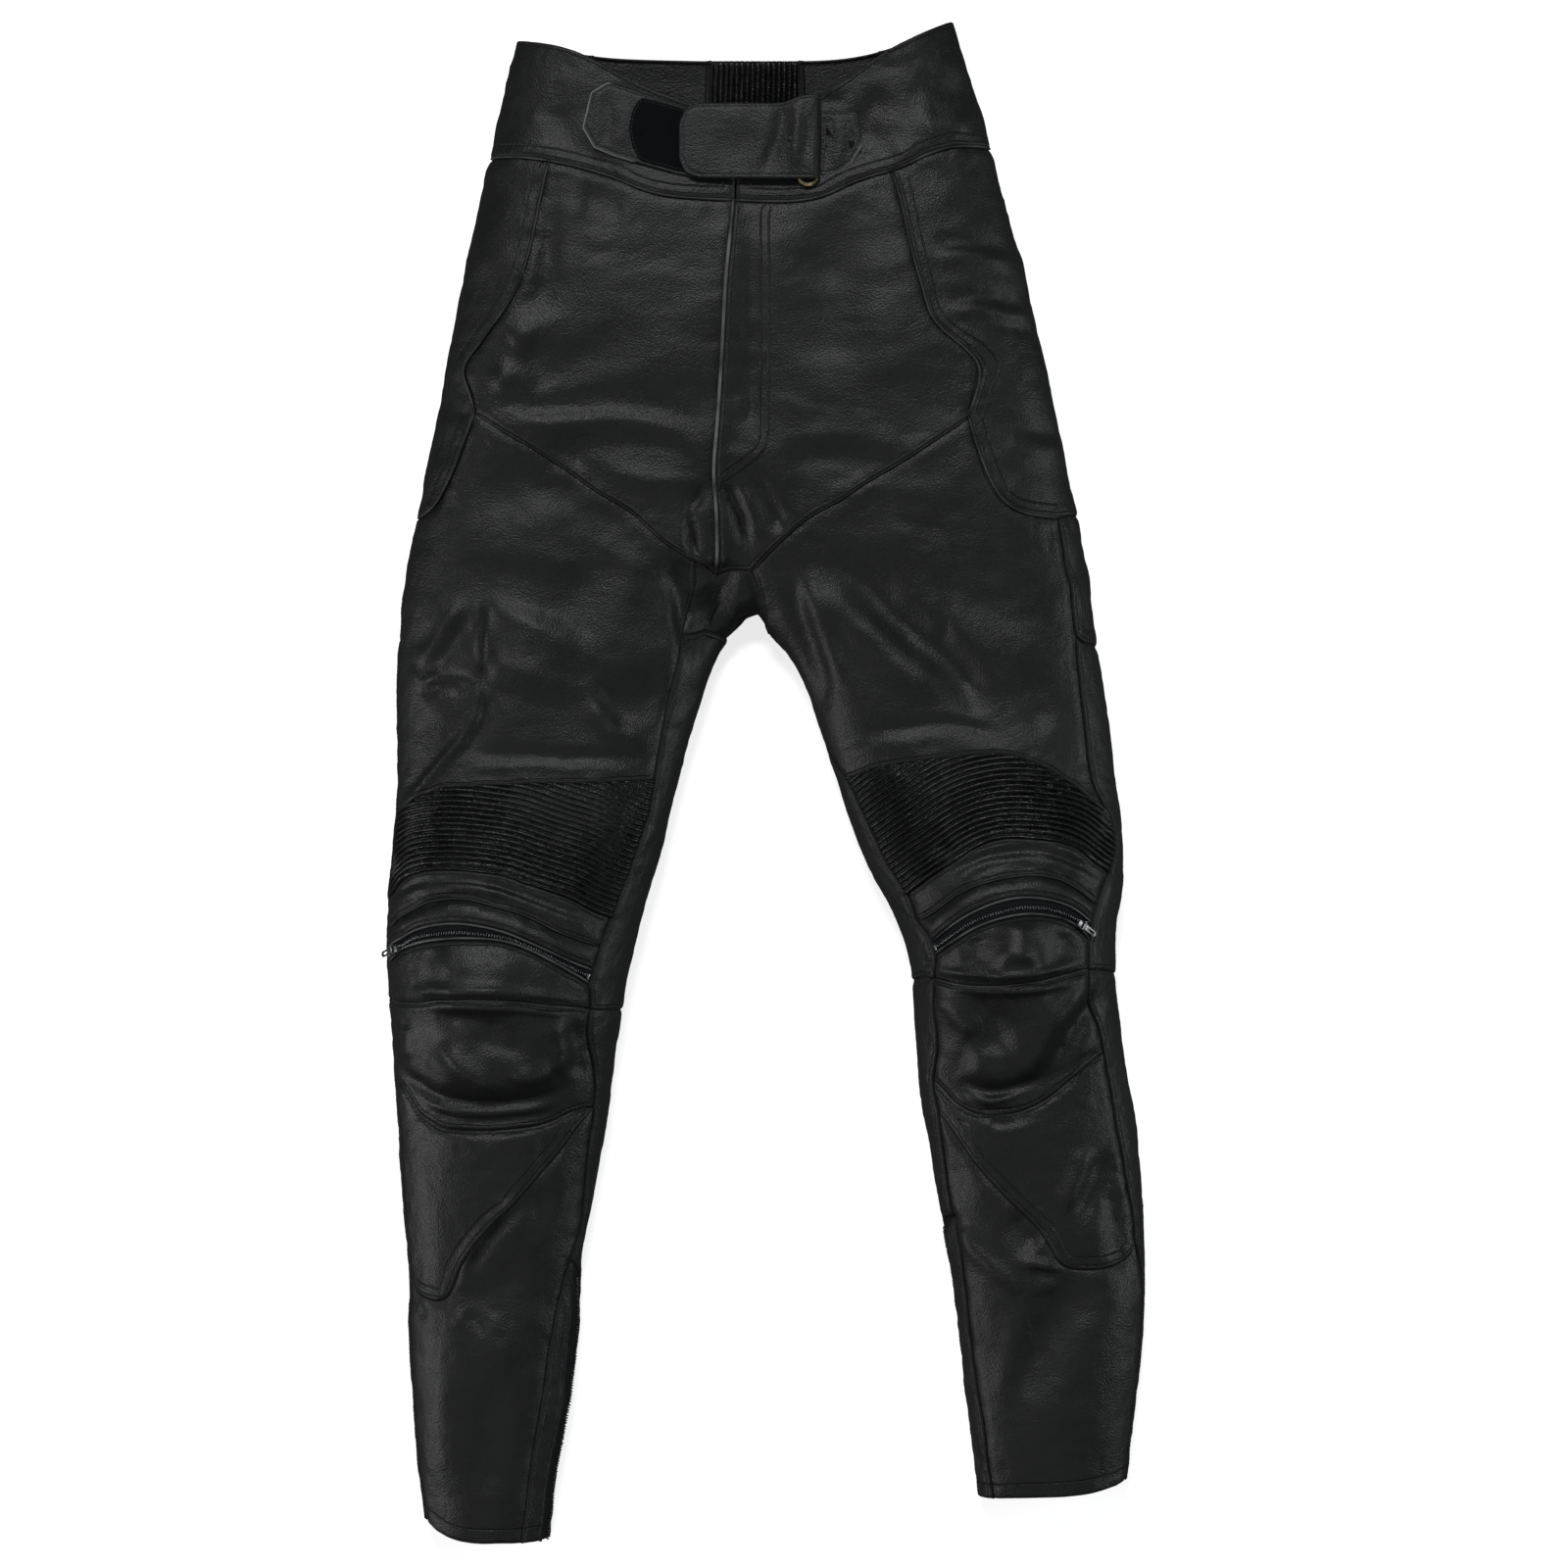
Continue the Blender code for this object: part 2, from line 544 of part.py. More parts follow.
def height_normal(height, x, y, sign):
    step = 0.3
    here = np.array([x, y, float(height(x, y))])
    dx = (float(height(x + step, y)) - float(height(x - step, y))) / (2 * step)
    dy = (float(height(x, y + step)) - float(height(x, y - step))) / (2 * step)
    normal = np.array([-dx, -dy, 1.0]) * sign
    return here, normal / np.linalg.norm(normal)


def spans(outline, level):
    """Where a row at this level lies inside the outline, as pairs of ends."""
    cuts = []
    for (a0, b0), (a1, b1) in zip(outline, np.roll(outline, -1, axis=0)):
        if (b0 > level) != (b1 > level):
            cuts.append(a0 + (a1 - a0) * (level - b0) / (b1 - b0))
    cuts.sort()
    return list(zip(cuts[::2], cuts[1::2]))


def rows_inside(outline, step_along, step_across):
    """Points on level rows inside the outline, evenly spaced by the facet size wanted there."""
    low, high = outline[:, 1].min(), outline[:, 1].max()
    found = []
    level = high
    levels = []
    while level > low:
        level -= step_along(level)
        levels.append(level)
    for level in levels:
        for start, end in spans(outline, level):
            at = np.linspace(start, end, 40)
            cost = np.concatenate([[0], np.cumsum([(end - start) / 39 / step_across(a, level) for a in at[1:]])])
            count = max(1, round(cost[-1]))
            for k in range(1, count):
                found.append((float(np.interp(cost[-1] * k / count, cost, at)), level))
    return found


def inset(points, normals, amount):
    """A closed line of vertices moved inwards along the surface, for the gap at a seam."""
    runs = np.roll(points, -1, axis=0) - points
    runs /= np.linalg.norm(runs, axis=1, keepdims=True)
    after = np.cross(normals, runs)
    before = np.cross(normals, np.roll(runs, 1, axis=0))
    mitre = 1 + (before * after).sum(axis=1, keepdims=True)
    return points + amount * (before + after) / np.maximum(mitre, 0.35)


def loop_of(edges, names):
    """Joins seams end to end; a name with a leading - is walked backwards."""
    points = []
    for name in names:
        edge = edges[name[1:]][::-1] if name[0] == "-" else edges[name]
        points += edge[:-1]
    return points


def panel_mesh(name, chart, points, wall, lift=None):
    """A closed wall on the surface: its outer skin, the same skin pushed in, and the rim."""
    outline = np.array([chart.lay(*p) for p in points])
    area = 0.5 * np.sum(outline[:, 0] * np.roll(outline[:, 1], -1) - np.roll(outline[:, 0], -1) * outline[:, 1])
    if (area < 0) != chart.flip:
        outline = outline[::-1]
    inner = [p for p in chart.inner_points(outline) if far_from(p, outline)]
    spots = [Vector(p) for p in outline] + [Vector(p) for p in inner]
    border = [(k, (k + 1) % len(outline)) for k in range(len(outline))]
    flat, _, faces, *_ = delaunay_2d_cdt(spots, border, [], 1, 1e-5)
    made = [chart.surface(*spot) for spot in flat]
    places, normals = np.array([m[0] for m in made]), np.array([m[1] for m in made])
    rim = len(outline)
    places[:rim] = inset(places[:rim], normals[:rim], SEAM_GAP / 2)
    if lift:
        places += normals * np.array([[lift(*spot) + wall] for spot in flat])
    normals = [Vector(n) for n in normals]
    bm = bmesh.new()
    for spot in places:
        bm.verts.new(spot * MM)
    bm.verts.ensure_lookup_table()
    outer = list(bm.verts)
    for face in faces:
        bm.faces.new([outer[k] for k in (reversed(face) if chart.flip else face)])
    grown = bmesh.ops.extrude_face_region(bm, geom=bm.faces[:], use_keep_orig=True)["geom"]
    by_place = {vert.co.to_tuple(9): normal for vert, normal in zip(outer, normals)}
    twins = {v for v in grown if isinstance(v, bmesh.types.BMVert)}
    for vert in twins:
        vert.co -= by_place[vert.co.to_tuple(9)] * wall * MM
    for rim in [face for face in bm.faces if len(face.verts) == 4]:
        near = max((v for v in rim.verts if v not in twins), key=lambda v: (round(v.co.y, 3), v.co.x))
        far = min((v for v in rim.verts if v in twins), key=lambda v: (round(v.co.y, 3), v.co.x))
        if not any(near in edge.verts and far in edge.verts for edge in rim.edges):
            bmesh.utils.face_split(rim, near, far)
    bmesh.ops.recalc_face_normals(bm, faces=bm.faces[:])
    mesh = bpy.data.meshes.new(name)
    bm.to_mesh(mesh)
    bm.free()
    return mesh


def far_from(point, outline):
    """Keeps inner points off the border, so that no facet there is a sliver."""
    line = np.concatenate([outline, outline[:1]])
    run = np.hypot(*(line[1:] - line[:-1]).T)
    gap = float(distance(point[0], point[1], line))
    nearest = np.argmin(np.hypot(*(outline - point).T))
    return gap > 0.38 * min(run[nearest], 22)


# ---------------------------------------------------------------- strap and zip hardware

STRAP = {
    "tab_left": -60, "tab_right": 35, "tab_top": 471, "tab_bottom": 419, "tab_corner": 13,
    "base_wall": 1.5, "hook_wall": 1.2, "tab_wall": 2.6,
    "base_lift": 0.5, "hook_lift": 2.4, "tab_lift": 4.1, "tab_lift_at_ring": 7.2, "ring_lift": 4.3,
}
BASE_RIGHT = ((-109, 486), (-121, 479), (-127, 454), (-119, 440), (-105, 434), (-84, 428), (-60, 421),
              (-52, 419), (-52, 466), (-84, 478))
BASE_LEFT = ((38, 466), (64, 465), (67, 441), (59, 428), (43, 421), (38, 421))
HOOK_PATCH = ((-86, 475), (-92, 467), (-95, 453), (-92, 440), (-87, 431), (-62, 424), (-46, 422),
              (-46, 464), (-60, 468))
RING = {"x": 29.5, "y": 444, "half_width": 6.0, "half_length": 30, "wire": 1.5}

SLIDER = {"length": 9, "width": 7, "height": 2.2, "lift": 0.6, "lug_gap": 4.8, "lug_length": 2.6,
          "lug_height": 2.2, "axis_rise": 1.25}
PULL = {"length": 13, "width": 4.2, "thickness": 1.1, "barrel": 0.9}
ZIP_SPOTS = {
    # slider centre and a point further along the closed zip's outer end
    "right": ((-256, -116), (-262, -120)),
    "left": ((218, -99), (226, -106)),
}


class FrontChart:
    """Lays a piece out flat, on the front skin."""

    flip = False

    def lay(self, x, y, layer):
        return x, y

    def surface(self, a, b):
        return height_normal(front_z, a, b, 1)

    def inner_points(self, outline):
        return rows_inside(outline, lambda y: 17.0, lambda a, b: 17.0)


def rounded_tab():
    """Outline of the strap tab: a rounded left end and a square right end."""
    left, right, top, bottom = (STRAP[f"tab_{k}"] for k in ("left", "right", "top", "bottom"))
    corner = STRAP["tab_corner"]
    points = [(right, bottom), (right, top)]
    for centre_y, start in ((top - corner, 90), (bottom + corner, 180)):
        for k in range(6):
            turn = math.radians(start + 18 * k)
            points.append((left + corner + corner * math.cos(turn), centre_y + corner * math.sin(turn)))
    return points


def tab_lift(a, b):
    share = min(1.0, max(0.0, (a + 6) / 26))
    share = share * share * (3 - 2 * share)
    return STRAP["tab_lift"] + (STRAP["tab_lift_at_ring"] - STRAP["tab_lift"]) * share


def make_strap(collection):
    pieces = (
        ("strap_base_right", BASE_RIGHT, "base_wall", lambda a, b: STRAP["base_lift"], "leather"),
        ("strap_base_left", BASE_LEFT, "base_wall", lambda a, b: STRAP["base_lift"], "leather"),
        ("hook_patch", HOOK_PATCH, "hook_wall", lambda a, b: STRAP["hook_lift"], "hook"),
        ("strap_tab", rounded_tab(), "tab_wall", tab_lift, "leather"),
    )
    for name, outline, wall, lift, finish in pieces:
        points = [(x, y, "front") for x, y in outline]
        place(name, panel_mesh(name, FrontChart(), points, STRAP[wall], lift), finish, collection)
    make_ring(collection)


def make_ring(collection):
    """The metal loop at the strap's fold, a rounded oblong of round wire."""
    w, h = RING["half_width"], RING["half_length"]
    curve = bpy.data.curves.new("d_ring", "CURVE")
    curve.dimensions = "3D"
    curve.bevel_depth = RING["wire"] * MM
    curve.bevel_resolution = 2
    spline_made = curve.splines.new("POLY")
    corners = []
    for cx, cy, start in ((0, h - w, 0), (0, w - h, 180)):
        for k in range(9):
            turn = math.radians(start + 22.5 * k)
            corners.append((RING["x"] + cx + w * math.cos(turn), RING["y"] + cy + w * math.sin(turn)))
    spline_made.points.add(len(corners) - 1)
    for point, (x, y) in zip(spline_made.points, corners):
        z = float(front_z(x, y)) + STRAP["ring_lift"]
        point.co = (x * MM, y * MM, z * MM, 1)
    spline_made.use_cyclic_u = True
    place("d_ring", curve, "brass", collection)


def zip_frame(side):
    """Seat of a slider on the zip: x along the zip to its outer end, z out of the cloth."""
    ring = RINGS[side]
    (x0, y0), (x1, y1) = ZIP_SPOTS[side]
    here, normal = ring.surface(ring.s_of(x0, y0, "front", "front"), y0)
    ahead, _ = ring.surface(ring.s_of(x1, y1, "front", "front"), y1)
    along = ahead - here
    along -= normal * along.dot(normal)
    along /= np.linalg.norm(along)
    frame = Matrix.Identity(4)
    for k, axis in enumerate((along, np.cross(normal, along), normal)):
        frame.col[k][:3] = axis
    frame.translation = (here + normal * SLIDER["lift"]) * MM
    return frame


def slider_mesh(name):
    """The slider's body with the two lugs that hold its pull."""
    bm = bmesh.new()
    size = (SLIDER["length"], SLIDER["width"], SLIDER["height"])
    bmesh.ops.create_cube(bm, size=1)
    bmesh.ops.scale(bm, vec=[side * MM for side in size], verts=bm.verts)
    bmesh.ops.translate(bm, vec=(0, 0, size[2] / 2 * MM), verts=bm.verts)
    half_gap, half_lug = SLIDER["lug_gap"] / 2 * MM, SLIDER["lug_length"] / 2 * MM
    for spot, normal in (((half_lug, 0, 0), (1, 0, 0)), ((-half_lug, 0, 0), (1, 0, 0)),
                         ((0, half_gap, 0), (0, 1, 0)), ((0, -half_gap, 0), (0, 1, 0))):
        bmesh.ops.bisect_plane(bm, geom=bm.verts[:] + bm.edges[:] + bm.faces[:], plane_co=spot, plane_no=normal)
    lugs = [f for f in bm.faces if f.normal.z > 0.5 and abs(f.calc_center_median().x) < half_lug
            and abs(f.calc_center_median().y) > half_gap]
    grown = bmesh.ops.extrude_discrete_faces(bm, faces=lugs)["faces"]
    bmesh.ops.translate(bm, vec=(0, 0, SLIDER["lug_height"] * MM), verts=[v for f in grown for v in f.verts])
    bmesh.ops.recalc_face_normals(bm, faces=bm.faces[:])
    mesh = bpy.data.meshes.new(name)
    bm.to_mesh(mesh)
    bm.free()
    return mesh


def pull_mesh(name):
    """The pull: a round barrel on the joint's axis that runs out into a thin plate."""
    barrel, half, length = PULL["barrel"], PULL["thickness"] / 2, PULL["length"]
    start = math.degrees(math.asin(half / barrel))
    profile = [(barrel * math.cos(math.radians(a)), barrel * math.sin(math.radians(a)))
               for a in np.linspace(start, 360 - start, 13)]
    profile += [(length - 0.5, -half), (length, -half + 0.4), (length, half - 0.4), (length - 0.5, half)]
    bm = bmesh.new()
    width = PULL["width"] / 2
    face = bm.faces.new([bm.verts.new((x * MM, -width * MM, z * MM)) for x, z in profile])
    grown = bmesh.ops.extrude_face_region(bm, geom=[face], use_keep_orig=True)["geom"]
    bmesh.ops.translate(bm, vec=(0, 2 * width * MM, 0), verts=[g for g in grown if isinstance(g, bmesh.types.BMVert)])
    bmesh.ops.recalc_face_normals(bm, faces=bm.faces[:])
    mesh = bpy.data.meshes.new(name)
    bm.to_mesh(mesh)
    bm.free()
    return mesh


def make_zip_hardware(side, collection):
    frame = zip_frame(side)
    slider = place(f"knee_zip_slider_{side}", slider_mesh(f"knee_zip_slider_{side}"), "nickel", collection)
    slider.matrix_world = frame
    axis_height = SLIDER["height"] + SLIDER["axis_rise"]
    pull = place(f"knee_zip_pull_{side}", pull_mesh(f"knee_zip_pull_{side}"), "nickel", collection)
    pull.matrix_world = frame @ Matrix.Translation((0, 0, axis_height * MM))


# ---------------------------------------------------------------- materials and objects

def clear_scene():
    for obj in list(bpy.data.objects):
        bpy.data.objects.remove(obj, do_unlink=True)


def material(name, colour, roughness, metallic=0.0):
    made = bpy.data.materials.get(name)
    if made is None:
        made = bpy.data.materials.new(name)
        made.use_nodes = True
        shader = made.node_tree.nodes["Principled BSDF"]
        shader.inputs["Base Color"].default_value = (*colour, 1)
        shader.inputs["Roughness"].default_value = roughness
        shader.inputs["Metallic"].default_value = metallic
    return made


FINISHES = {
    "leather": ((0.016, 0.016, 0.018), 0.42),
    "ribbed": ((0.012, 0.012, 0.014), 0.5),
    "tape": ((0.008, 0.009, 0.014), 0.9),
    "hook": ((0.005, 0.005, 0.006), 0.95),
    "nickel": ((0.55, 0.54, 0.50), 0.3, 1.0),
    "brass": ((0.62, 0.52, 0.30), 0.3, 1.0),
}


def place(name, mesh, finish, collection):
    obj = bpy.data.objects.new(name, mesh)
    obj.data.materials.append(material(f"{name}_finish", *FINISHES[finish]))
    collection.objects.link(obj)
    return obj


# Panels of one side: the skin they leave the front over, the seams round them, finish and wall.
PANELS = (
    # name, over, seams in order, finish, wall
    ("waistband", "front", ("-side_band", "-top_side", "top_front", "centre_band", "-waist_front",
                            "-waist_hip", "waist_side"), "leather", LEATHER),
    ("hip_panel", "front", ("-waist_side", "waist_hip", "hip_upper", "hip_lower", "hip_end", "-hip_back"),
     "leather", LEATHER),
    ("front_panel", "front", ("waist_front", "centre", "-crotch_top", "-diagonal", "-hip_upper"),
     "leather", LEATHER),
    ("thigh_front", "front", ("diagonal", "gusset_front", "inseam_thigh", "-knee_top", "-outseam_thigh",
                              "-outseam_seat", "-hip_lower"), "leather", LEATHER),
    ("knee_ribs", "front", ("knee_top", "inseam_ribs", "-rib_end", "-outseam_ribs"), "ribbed", LEATHER),
    ("knee_band_upper", "front", ("rib_end", "inseam_band_1", "-band_end", "-outseam_band_1"),
     "leather", LEATHER),
    ("knee_band_lower", "front", ("band_end", "inseam_band_2", "-zip_top", "-outseam_band_2"),
     "leather", LEATHER),
    ("knee_zip_tape", "front", ("zip_top", "inseam_zip", "-zip_end", "-outseam_zip"), "tape", TAPE),
    ("knee_cup_upper", "front", ("zip_end", "inseam_cup_1", "-cup_seam", "-outseam_cup_1"),
     "leather", LEATHER),
    ("knee_cup_lower", "front", ("cup_seam", "inseam_cup_2", "-cup_end", "-outseam_cup_2"),
     "leather", LEATHER),
    ("shin_panel", "front", ("cup_end", "shin_inner", "-shin_end", "-outseam_shin"), "leather", LEATHER),
    ("calf_front", "front", ("shin_end", "-shin_inner", "inseam_calf", "strip_seam", "-hem_front",
                             "-outseam_calf"), "leather", LEATHER),
    ("ankle_strip", "front", ("zip_line", "-hem_strip", "-strip_seam"), "leather", LEATHER),
    ("ankle_zip_tape", "front", ("zip_back", "-hem_zip", "-zip_line"), "tape", TAPE),
    ("back_thigh", "back", ("seat_end", "-gusset_ring", "inseam_thigh", "inseam_ribs", "inseam_band_1",
                            "inseam_band_2", "inseam_zip", "inseam_cup_1", "-knee_back", "-outseam_cup_1",
                            "-outseam_zip", "-outseam_band_2", "-outseam_band_1", "-outseam_ribs",
                            "-outseam_thigh"), "leather", LEATHER),
    ("back_calf", "back", ("knee_back", "inseam_cup_2", "inseam_calf", "zip_back", "-hem_back",
                           "-outseam_calf", "-outseam_shin", "-outseam_cup_2"), "leather", LEATHER),
    ("seat", "back", ("back_waist", "back_waist_rib", "back_centre", "gusset_back", "-seat_end",
                      "-outseam_seat", "hip_end", "-hip_back"), "leather", LEATHER),
    ("waistband_back", "back", ("back_top", "rib_side", "-back_waist", "-side_band"), "leather", LEATHER),
)


def seams_for(side, name, seams):
    """The left side has one seam more than the right, between the shin and the inseam."""
    if side == "left" and name == "shin_panel":
        return ("cup_end", "inseam_shin", *seams[1:])
    if side == "left" and name == "back_calf":
        return ("knee_back", "inseam_cup_2", "inseam_shin", *seams[2:])
    return seams


def make_side(side, edges, collection):
    for name, over, seams, finish, wall in PANELS:
        node = f"{name}_{side}"
        points = loop_of(edges, seams_for(side, name, seams))
        mesh = panel_mesh(node, RingChart(side, over), points, wall)
        place(node, mesh, finish, collection)


def make_centre(edges, collection):
    right, left = edges["right"], edges["left"]
    loop = (right["back_waist_rib"][:-1] + left["back_waist_rib"][::-1][:-1] + left["rib_side"][::-1][:-1]
            + on_back(((RIB_PANEL[1], BACK_TOP), (RIB_PANEL[0], BACK_TOP)))[:-1] + right["rib_side"][:-1])
    place("waistband_back_ribs", panel_mesh("waistband_back_ribs", BackChart(), loop, LEATHER),
          "ribbed", collection)
    loop = (right["crotch_top"][:-1] + left["crotch_top"][::-1][:-1] + left["gusset_front"][:-1]
            + left["gusset_ring"][:-1] + left["gusset_back"][::-1][:-1] + right["gusset_back"][:-1]
            + right["gusset_ring"][::-1][:-1] + right["gusset_front"][::-1][:-1])
    place("gusset", panel_mesh("gusset", CrotchChart(), loop, LEATHER), "leather", collection)


def main():
    clear_scene()
    collection = bpy.data.collections.new("leather_motorcycle_trousers")
    bpy.context.scene.collection.children.link(collection)
    edges = {side: make_seams(side) for side in ("right", "left")}
    for side in ("right", "left"):
        make_side(side, edges[side], collection)
        make_zip_hardware(side, collection)
    make_centre(edges, collection)
    make_strap(collection)


main()
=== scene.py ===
import bpy
import bmesh
import itertools
import json
import math
import numpy as np
from mathutils import Vector, Matrix, noise
from mathutils.bvhtree import BVHTree
from mathutils.kdtree import KDTree


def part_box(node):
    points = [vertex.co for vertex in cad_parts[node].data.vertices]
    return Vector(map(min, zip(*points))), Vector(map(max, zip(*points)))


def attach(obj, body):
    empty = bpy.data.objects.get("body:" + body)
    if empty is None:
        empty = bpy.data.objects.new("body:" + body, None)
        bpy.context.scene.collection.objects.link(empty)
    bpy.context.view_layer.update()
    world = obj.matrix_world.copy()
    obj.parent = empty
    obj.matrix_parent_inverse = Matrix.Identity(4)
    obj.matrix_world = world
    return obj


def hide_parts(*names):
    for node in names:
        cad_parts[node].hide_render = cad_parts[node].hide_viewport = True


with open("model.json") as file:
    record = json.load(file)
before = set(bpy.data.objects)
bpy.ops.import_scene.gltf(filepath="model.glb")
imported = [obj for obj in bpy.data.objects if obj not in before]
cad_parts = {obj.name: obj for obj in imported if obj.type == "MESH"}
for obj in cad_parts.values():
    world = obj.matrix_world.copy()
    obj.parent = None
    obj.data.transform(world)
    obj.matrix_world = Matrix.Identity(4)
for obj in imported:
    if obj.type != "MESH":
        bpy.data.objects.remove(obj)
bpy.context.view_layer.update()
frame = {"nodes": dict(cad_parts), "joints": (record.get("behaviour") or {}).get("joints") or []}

mm = 0.001
nodes = frame["nodes"]
bpy.ops.object.select_all(action="DESELECT")


# The whole skin, joined at its seams, so that folds run across them

skinLook = {
    "weldReach": 0.0011,      # seams this close are one line while the folds are made
    "levels": 3,              # subdivisions of the panels
    "sharp": 0.85,            # an edge at least this sharp, in radians, ends a panel's outer skin
    "zipReach": 0.0022,       # seam edges this close are met point to point
    "table": 0.0002,          # nothing lies lower, in metres
    "wall": {"leather": 1.6, "tape": 1.0},
    "rest": 0.3,              # lowest point of the outer skin, in mm
}
sides = ("right", "left")
leatherPanels = [f"{part}_{side}" for side in sides for part in (
    "waistband", "hip_panel", "front_panel", "thigh_front", "knee_ribs", "knee_band_upper",
    "knee_band_lower", "knee_zip_tape", "knee_cup_upper", "knee_cup_lower", "shin_panel", "calf_front",
    "ankle_strip", "ankle_zip_tape", "back_thigh", "back_calf", "seat", "waistband_back")]
leatherPanels += ["waistband_back_ribs", "gusset"]


bodyLook = {                              # a line through the middle of the body and of each leg, in mm
    "crotch": 105, "waistX": -20, "waistHalf": 60, "waistUp": 26, "legUp": 28, "legLong": 645,
    "legs": {"right": (-137, -58), "left": (118, 84)},      # x at the crotch, and its drift down to the hem
}


def middleOf(point):                      # a point inside the garment, level with this one
    look, x, y = bodyLook, point.x / mm, point.y / mm
    if y > look["crotch"]:
        side = math.copysign(look["waistHalf"], x - look["waistX"])
        near = abs(x - look["waistX"]) < look["waistHalf"]
        return Vector(((look["waistX"] + (0 if near else side)) * mm, point.y, look["waistUp"] * mm))
    top, drift = look["legs"]["right" if x < 0 else "left"]
    middle = top + drift * (look["crotch"] - y) / look["legLong"]
    return Vector((middle * mm, point.y, look["legUp"] * mm))


def outerSkin(node):                      # the outer faces of a CAD panel as a bmesh
    bm = bmesh.new()
    bm.from_mesh(node.data)
    bmesh.ops.remove_doubles(bm, verts=bm.verts, dist=0.00002)
    bm.normal_update()
    bm.faces.ensure_lookup_table()
    seen, skins = set(), []
    for first in bm.faces:
        if first.index in seen:
            continue
        seen.add(first.index)
        todo, found = [first], []
        while todo:
            face = todo.pop()
            found.append(face)
            for edge in face.edges:
                if edge.calc_face_angle(0) < skinLook["sharp"]:
                    for other in edge.link_faces:
                        if other.index not in seen:
                            seen.add(other.index)
                            todo.append(other)
        skins.append(found)
    skins.sort(key=lambda faces: -sum(face.calc_area() for face in faces))

    def outward(faces):
        middles = [(face, face.calc_center_median()) for face in faces]
        return sum((at - middleOf(at)).dot(face.normal) * face.calc_area() for face, at in middles)

    keep = set(max(skins[:2], key=outward))
    bmesh.ops.delete(bm, geom=[face for face in bm.faces if face not in keep], context="FACES")
    return bm


whole = bmesh.new()
for index, name in enumerate(leatherPanels):
    piece = outerSkin(nodes[name])
    for face in piece.faces:
        face.material_index = index
        face.smooth = True
    carrier = bpy.data.meshes.new("carrier")
    piece.to_mesh(carrier)
    piece.free()
    whole.from_mesh(carrier)
    bpy.data.meshes.remove(carrier)
rims = [v for v in whole.verts if v.is_boundary]
bmesh.ops.remove_doubles(whole, verts=rims, dist=skinLook["weldReach"])


def zipSeams(bm, reach):                  # meets the points of two seam edges that were spaced differently
    for _ in range(4):
        bm.verts.index_update()
        rimEdges = [e for e in bm.edges if e.is_boundary]
        joins = {}
        for v in [v for v in bm.verts if v.is_boundary]:
            best = None
            for e in rimEdges:
                if v in e.verts:
                    continue
                a, b = e.verts[0].co, e.verts[1].co
                if (v.co - a).length > reach + e.calc_length() or v.link_faces[0] in e.link_faces:
                    continue
                share = max(0, min(1, (v.co - a).dot(b - a) / (b - a).length_squared))
                gap = (v.co - a.lerp(b, share)).length
                if gap < reach and (best is None or gap < best[0]):
                    best = (gap, e, share)
            if best:
                joins[v] = best
        used, pairs = set(), {}
        for v, (gap, e, share) in sorted(joins.items(), key=lambda item: item[1][0]):
            if e in used or not v.is_valid:
                continue
            ends = [w for w in e.verts if (w.co - v.co).length < reach * 1.6]
            if ends:
                other = min(ends, key=lambda w: (w.co - v.co).length)
                if other in pairs or v in pairs or any(other in e2.verts for e2 in v.link_edges):
                    continue
            else:
                used.add(e)
                other = bmesh.utils.edge_split(e, e.verts[0], share)[1]
            pairs[v] = other
        if not pairs:
            break
        targets = {v: w for v, w in pairs.items() if w not in pairs}
        bmesh.ops.weld_verts(bm, targetmap=targets)


zipSeams(whole, skinLook["zipReach"])
bmesh.ops.triangulate(whole, faces=[f for f in whole.faces if len(f.verts) > 4])
bmesh.ops.join_triangles(whole, faces=whole.faces, cmp_materials=True, angle_face_threshold=0.7,
                         angle_shape_threshold=0.9)
print("skin:", len(whole.verts), "points,", len(whole.faces), "faces")


# Folds, as soft troughs and ridges across the front: half width, height, then the line, all in mm

